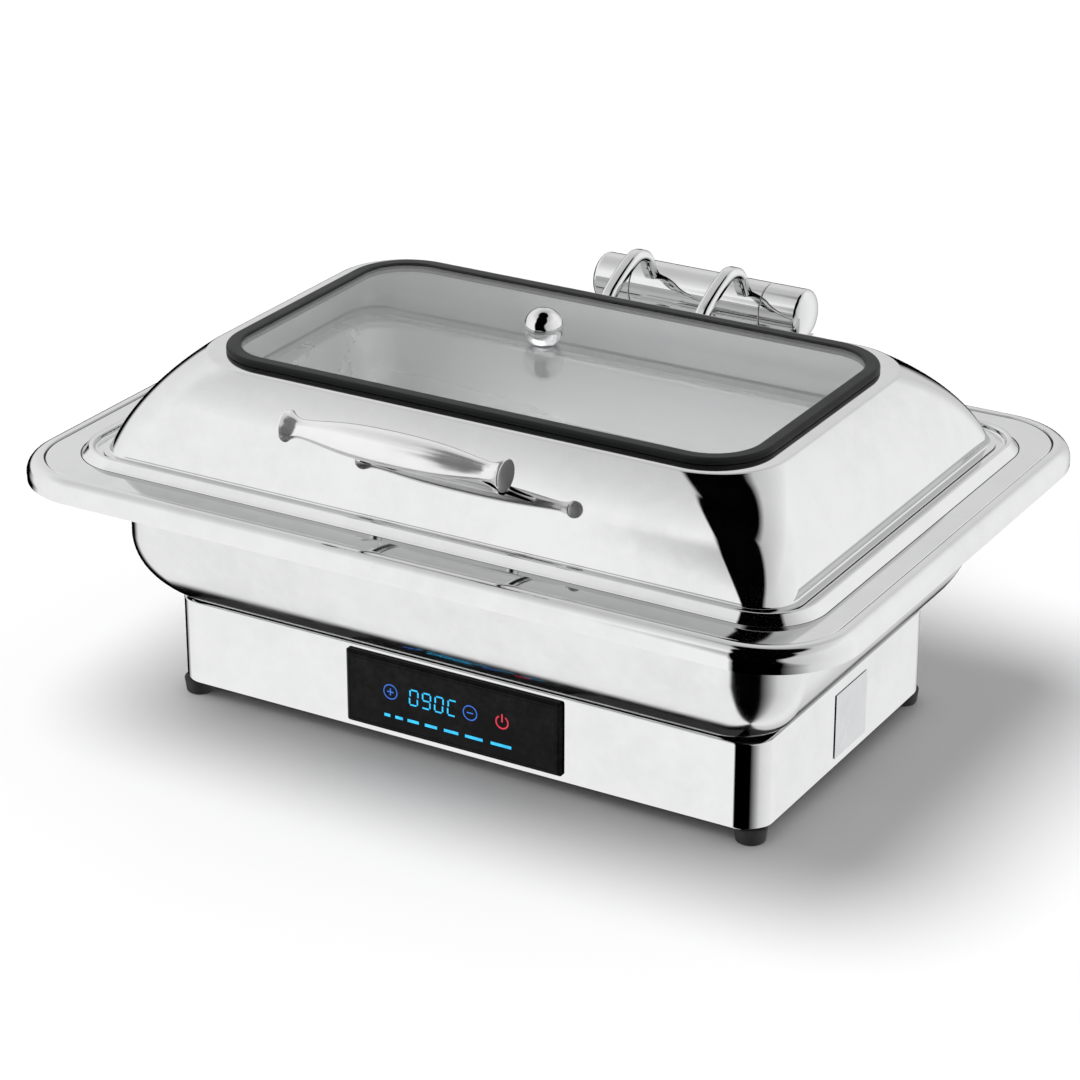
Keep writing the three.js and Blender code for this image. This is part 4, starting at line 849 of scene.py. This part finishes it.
def onWall(x, lean, back, depth):  # stands a piece turned round Z square on the lid's wall, depth in from its skin
    angle = math.radians(lean)
    reach = lidSizes["wallCurve"] - depth
    y, z = wallCentreY + reach * math.cos(angle), wallCentreZ + reach * math.sin(angle)
    side = 1 if back else -1
    tilt = Matrix.Rotation(-side * (math.pi / 2 - angle), 4, "X")
    return Matrix.Translation((x, side * y, z)) @ tilt


gripSizes = {"lean": 34.5, "standOff": 55.3, "armX": 55.8, "armRadius": 4, "footRadius": 6, "boreRadius": 2.7,
             "reach": 9, "waist": 12.5, "neck": 6.8, "end": 11.5, "length": 175}
gripShape = [(0, 1, 0), (0.25, 0.93, 0), (0.45, 0.74, 0), (0.62, 0.42, 0), (0.76, 0.12, 0), (0.86, 0, 0),
             (0.91, 0, 0.17), (0.96, 0, 0.64), (0.985, 0, 1)]  # place along the half, share of swell, share of flare


def handle():
    s = gripSizes
    _, y, z = centreOf("handle_grip")
    end = s["length"] / 2
    side = [(s["neck"] + (s["waist"] - s["neck"]) * swell + (s["end"] - s["neck"]) * flare, at * end)
            for at, swell, flare in gripShape]
    line = smoothLine([(r, -h) for r, h in reversed(side[1:])] + side, 4)
    cap = [(s["end"] - 0.25, end - 0.35), (s["end"] - 0.9, end)]
    line = [(0, -end), *[(r, -h) for r, h in reversed(cap)], *line, *cap, (0, end)]
    along = Matrix.Translation((0, y, z)) @ Matrix.Rotation(math.pi / 2, 4, "Y")
    finishPiece(turned(line, 48, along), "spindle_grip", "lid", "polished_steel", ["handle_grip"], "grip_steel")
    rise = 3.6
    for name, sideX in sides:
        profile = [(0, s["reach"]), (s["boreRadius"], s["reach"]), (s["boreRadius"], 0), (s["footRadius"] - 0.3, 0),
                   (s["footRadius"], 0.3), (s["footRadius"], 1.6)]
        profile += smoothLine([(s["footRadius"], 1.6), (s["footRadius"] - 0.5, 2.2), (s["armRadius"] + 0.5, 3),
                               (s["armRadius"], rise + 1)], 4)
        profile += [(s["armRadius"], s["standOff"] - 2), (0, s["standOff"] - 1)]
        bm = turned(profile, 40, onWall(sideX * s["armX"], s["lean"], False, -0.3))
        finishPiece(bm, "handle_post_" + name, "lid", "polished_steel", ["handle_arm_" + name])


handle()

boltShape = [(0, -2.0), (1.5, -2.0), (1.7, -2.9), (3.9, -2.9), (5.0, -2.4), (5.5, -1.4), (5.5, -0.3), (2.5, -0.3),
             (2.5, 8.6), (2.1, 9), (0, 9)]
armSizes = {"x": 40.25, "lean": 43, "peak": 36, "straight": 10, "width": 11.5, "thickness": 9, "edge": 3.6}
for name, sideX in sides:
    for kind, x, lean, back in (("handle", gripSizes["armX"], gripSizes["lean"], False),
                                ("hinge_arm", armSizes["x"], armSizes["lean"], True)):
        bm = turned(boltShape, 32, onWall(sideX * x, lean, back, lidSizes["sheet"]))
        node = kind + "_bolt_" + name
        finishPiece(bm, kind + "_fixing_" + name, "lid", "zinc_steel", [node])
print("lid made")

# ---- hinge ----
barrelLow, barrelHigh = extent("hinge_barrel")
_, axisY, axisZ = centreOf("hinge_barrel")
barrelRadius = (barrelHigh.z - barrelLow.z) / 2
hingeSizes = {"bore": 14.3, "shaft": 5.3, "capRound": 8, "floor": 4, "endWall": 8, "edge": 0.5}


def hingeArm(name, sideX):  # a rounded bar pushed along the goose-neck's line
    s = armSizes
    angle = math.radians(s["lean"])
    reach = lidSizes["wallCurve"] - 0.2
    foot = Vector((wallCentreY + reach * math.cos(angle), wallCentreZ + reach * math.sin(angle)))
    peak, span = axisZ + s["peak"], axisY - foot.x
    out = Vector((math.cos(angle), math.sin(angle)))
    line = [foot, foot + out * s["straight"], (foot.x + 0.38 * span, peak - 4.5), (foot.x + 0.56 * span, peak),
            (foot.x + 0.72 * span, peak - 4.5), (axisY - barrelRadius * 0.8, axisZ + barrelRadius * 0.95),
            (axisY - barrelRadius * 0.56, axisZ + barrelRadius * 0.6)]
    line = smoothLine(line, 7)
    bm = bmesh.new()
    roundCorners(bm, rectangle(bm, s["width"] / 2, s["thickness"] / 2), s["edge"], 6)
    faces = bm.faces[:]

    def heading(i):
        before, after = line[max(i - 1, 0)], line[min(i + 1, len(line) - 1)]
        step = after - before
        return math.atan2(step.y, step.x)
    # The section starts flat in X and Y: it is turned to face along the line, then pushed and turned at each step.
    stand = Matrix.Translation((sideX * s["x"], line[0].x, line[0].y))
    facing = Matrix.Rotation(heading(0) - math.pi / 2, 4, "X")
    bmesh.ops.transform(bm, matrix=stand @ facing, verts=bm.verts)
    for i in range(1, len(line)):
        grown = bmesh.ops.extrude_face_region(bm, geom=faces)["geom"]
        verts = [g for g in grown if isinstance(g, bmesh.types.BMVert)]
        if i > 1:
            bmesh.ops.delete(bm, geom=faces, context="FACES_ONLY")
        faces = [g for g in grown if isinstance(g, bmesh.types.BMFace)]
        before, after = line[i - 1], line[i]
        bmesh.ops.translate(bm, vec=(0, after.x - before.x, after.y - before.y), verts=verts)
        bmesh.ops.rotate(bm, cent=(0, after.x, after.y), matrix=Matrix.Rotation(heading(i) - heading(i - 1), 3, "X"),
                         verts=verts)
    finishPiece(bm, "goose_neck_" + name, "lid", "polished_steel", ["hinge_arm_" + name], sharp=50)


for name, sideX in sides:
    hingeArm(name, sideX)

alongAxis = Matrix.Translation((0, axisY, axisZ)) @ Matrix.Rotation(math.pi / 2, 4, "Y")


def hingeBarrel():
    s = hingeSizes
    end, e, r = barrelHigh.x, s["edge"], barrelRadius
    domeSteps = 14
    side = [(s["bore"], end - 0.4), (s["bore"] + 0.4, end), (r - e, end), *arc(r - e, end - e, e, 90, 0, 3)]
    profile = [*side, *[(radius, -height) for radius, height in reversed(side)]]
    bm = turned(profile, 72, alongAxis, closed=True)
    finishPiece(bm, "barrel_sleeve", "lid", "polished_steel", ["hinge_barrel"])
    for name, sideX in sides:
        low, high = extent("hinge_end_" + name)
        start, stop = min(abs(low.x), abs(high.x)), max(abs(low.x), abs(high.x))
        profile = [(0, stop - s["endWall"]), (s["shaft"], stop - s["endWall"]), (s["shaft"], start + s["floor"]),
                   (s["bore"], start + s["floor"]), (s["bore"], start), (r - e, start)]
        profile += arc(r - e, start + e, e, -90, 0, 3)
        for i in range(domeSteps + 1):
            angle = math.pi / 2 * i / domeSteps
            radius = r * math.cos(angle) if i < domeSteps else 0
            profile.append((radius, stop - s["capRound"] * (1 - math.sin(angle))))
        stand = alongAxis if sideX > 0 else Matrix.Scale(-1, 4, (1, 0, 0)) @ alongAxis
        bm = turned(profile, 72, stand)
        finishPiece(bm, "barrel_end_" + name, "water_pan", "polished_steel", ["hinge_end_" + name])


hingeBarrel()
refined("hinge_bracket", "hinge_foot", "water_pan", "polished_steel", 0.5)
for name in ("left", "right"):
    low, high = extent("bracket_bolt_" + name)
    x, y, _ = centreOf("bracket_bolt_" + name)
    seat = high.z - 3.4
    profile = [(0, low.z - seat), (2, low.z - seat), (2.5, low.z - seat + 0.5), (2.5, 0), (5.2, 0), (5.5, 0.3)]
    profile += [(5.5, 1.4), (5, 2.3), (3.8, 3.0), (2.6, 3.35), (1.9, 3.4), (1.7, 2.4), (0, 2.4)]
    bm = turned(profile, 40, Matrix.Translation((x, y, seat)))
    finishPiece(bm, "bracket_screw_" + name, "water_pan", "zinc_steel", ["bracket_bolt_" + name])
    refined("bracket_nut_" + name, "bracket_fixing_" + name, "water_pan", "zinc_steel", 0.3)
print("hinge made")

# ---- pieces kept from the frame, each with its own finish ----
kept = {
    "zinc_steel": ["base_bottom_cover", "heating_element", "hinge_damper", "hinge_shaft"]
    + ["plate_post_" + corner for corner in corners],
    "black_plastic": ["led_display", "power_relay", "terminal_block", "thermal_cutout", "mains_lead"],
    "panel_gloss": ["control_panel_glass"],
    "circuit_board": ["display_board", "power_board"],
    "red_sleeve": ["power_transformer", "element_lead_front", "element_lead_rear"],
    "grey_sleeve": ["display_ribbon"],
    "label_foil": ["rating_plate"],
    "plain_aluminium": ["heating_plate"],
    "satin_steel": ["heat_shield", "temperature_sensor"],
    "clear_glass": ["window_glass"],
}
for slot, nodes in kept.items():
    for node in nodes:
        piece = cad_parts[node]
        piece.data.materials.clear()
        piece.data.materials.append(finishes[slot])
refined("power_inlet", "inlet_socket", "base", "black_plastic", 0.4)
print("kept pieces finished")

# ---- studio ----
studio = {"floorSize": 12, "azimuth": 30.32, "elevation": 23.91, "distance": 2.5695, "lens": 116.24,
          "target": (-0.00907, -0.01075, 0.12495)}


def floor():
    bm = bmesh.new()
    bmesh.ops.create_grid(bm, x_segments=1, y_segments=1, size=studio["floorSize"] / 2)
    piece = toObject(bm, "studio_floor")
    material, tree, shader, vector = startMaterial("pale floor", Roughness=0.9)
    shader.inputs["Specular IOR Level"].default_value = 0.1
    link(tree, tint(tree, noise(tree, vector, 3.0), (0.9, 0.9, 0.9), (0.92, 0.92, 0.92)), shader.inputs["Base Color"])
    piece.data.materials.append(material)
    piece.visible_glossy = False  # polished faces show the studio round the table, not the table


# Each range is what comes out at its two ends, then where in height or azimuth (degrees) the ends are.
skySizes = {"fill": 0.46, "dark": 0.0, "second": 0.72,
            "upperShade": (1.0, 0.55, 0.6, 1.0), "overhead": (0.0, 1.0, 0.9, 0.935),
            "leftLow": (-18.0, -28.0, 0.0, 0.5), "leftHigh": (0.0, -20.0, 0.68, 0.9), "leftBlur": (0.0, 1.0, -3, 3),
            "rightLow": (58.0, 38.0, -0.39, 0.3), "rightHigh": (0.0, 40.0, 0.5, 0.9),
            "rightBlur": (18.0, 5.0, -0.39, 0.05), "openingTop": (1.0, 0.0, 0.985, 0.995),
            "behindStart": (0.0, 1.0, -174, -166), "behindEnd": (1.0, 0.0, -106, -88),
            "behindTop": (1.0, 0.0, 0.0, 0.12), "again": (0.0, 1.0, 1.2, 1.8), "nearBaseShadow": (0.95, 0.0, -0.6, -0.35),
            "tone": ((-180, 0.62), (-150, 0.68), (-110, 0.8), (-60, 0.88), (-20, 0.9), (35, 0.48), (70, 0.62),
                     (96, 0.76), (142, 0.88), (160, 0.84), (180, 0.62))}


def rampOver(tree, source, low, high, stops):  # a grey that follows the stops over source's range
    ramp = add(tree, "ShaderNodeValToRGB")
    elements = ramp.color_ramp.elements
    while len(elements) > 1:
        elements.remove(elements[0])
    for i, (at, value) in enumerate(stops):
        share = (at - low) / (high - low)
        element = elements[0] if i == 0 else elements.new(share)
        element.position, element.color = share, (value, value, value, 1)
    link(tree, mapRange(tree, source, 0.0, 1.0, low, high), ramp.inputs["Fac"])
    return ramp.outputs["Color"]


def studioSky():  # pale walls round the table and a dark opening at the front; the dark low down behind is painted shade for the hollow between pan and base, and the studio is dimmed as painted shade where a second polished face sees it
    s = skySizes
    world = bpy.data.worlds.new("studio")
    bpy.context.scene.world = world
    world.use_nodes = True
    tree = world.node_tree
    split = add(tree, "ShaderNodeSeparateXYZ")
    link(tree, add(tree, "ShaderNodeTexCoord").outputs["Generated"], split.inputs[0])
    x, y, z = split.outputs
    around = mathNode(tree, "ARCTAN2", x, mathNode(tree, "MULTIPLY", y, -1.0))
    azimuth = mathNode(tree, "MULTIPLY", around, 180 / math.pi)

    def over(source, name):
        return mapRange(tree, source, *s[name])

    def times(a, b):
        return mathNode(tree, "MULTIPLY", a, b)

    tone = times(rampOver(tree, azimuth, -180, 180, s["tone"]), over(z, "upperShade"))
    leftEdge = mathNode(tree, "ADD", over(z, "leftLow"), over(z, "leftHigh"))
    rightEdge = mathNode(tree, "ADD", over(z, "rightLow"), over(z, "rightHigh"))
    pastLeft = over(mathNode(tree, "SUBTRACT", azimuth, leftEdge), "leftBlur")
    beyond = mathNode(tree, "DIVIDE", mathNode(tree, "SUBTRACT", rightEdge, azimuth), over(z, "rightBlur"))
    opening = times(times(pastLeft, mapRange(tree, beyond, 0.0, 1.0, -1, 1)), over(z, "openingTop"))
    # painted shade: dark low down behind, standing for the hollow between pan and base
    behind = times(times(over(azimuth, "behindStart"), over(azimuth, "behindEnd")), over(z, "behindTop"))
    path = add(tree, "ShaderNodeLightPath")
    again = over(path.outputs["Glossy Depth"], "again")  # seen by way of another polished face
    shadow = times(again, over(z, "nearBaseShadow"))  # painted shadow: the floor close to the base, made dark only where a second polished face sees it
    dark = mathNode(tree, "MAXIMUM", opening, behind)
    dark = mathNode(tree, "MAXIMUM", dark, mathNode(tree, "MAXIMUM", over(z, "overhead"), shadow))
    # painted shade: the studio is dimmed wherever a second polished face sees it, which darkens crevices
    tone = times(tone, mapRange(tree, again, 1.0, s["second"]))
    seen = tint(tree, dark, tint(tree, tone, (0, 0, 0), (1, 1, 1)), (s["dark"],) * 3)
    filled = tint(tree, path.outputs["Is Diffuse Ray"], (1, 1, 1), (s["fill"],) * 3)
    background = tree.nodes["Background"]
    link(tree, tint(tree, path.outputs["Is Glossy Ray"], filled, seen), background.inputs["Color"])


def lamp(name, location, aim, softness, strength):
    data = bpy.data.lights.new(name, "SUN")
    data.angle, data.energy = math.radians(softness), strength
    light = bpy.data.objects.new(name, data)
    light.location = location
    light.rotation_euler = (Vector(aim) - Vector(location)).to_track_quat("-Z", "Y").to_euler()
    bpy.context.scene.collection.objects.link(light)
    light.visible_glossy = False


def camera():
    azimuth, elevation = math.radians(studio["azimuth"]), math.radians(studio["elevation"])
    flat = math.cos(elevation)
    back = Vector((math.sin(azimuth) * flat, -math.cos(azimuth) * flat, math.sin(elevation)))
    data = bpy.data.cameras.new("camera")
    data.lens, data.sensor_width = studio["lens"], 36
    data.clip_start, data.clip_end = 0.05, 50
    view = bpy.data.objects.new("camera", data)
    view.location = Vector(studio["target"]) + back * studio["distance"]
    view.rotation_euler = (-back).to_track_quat("-Z", "Y").to_euler()
    bpy.context.scene.collection.objects.link(view)
    bpy.context.scene.camera = view


floor()
studioSky()
lamp("overhead softbox", (-0.45, -0.35, 1.9), (0, 0, 0.1), 44, 2.25)
camera()
bpy.context.scene.view_settings.view_transform = "Standard"
print("studio made")
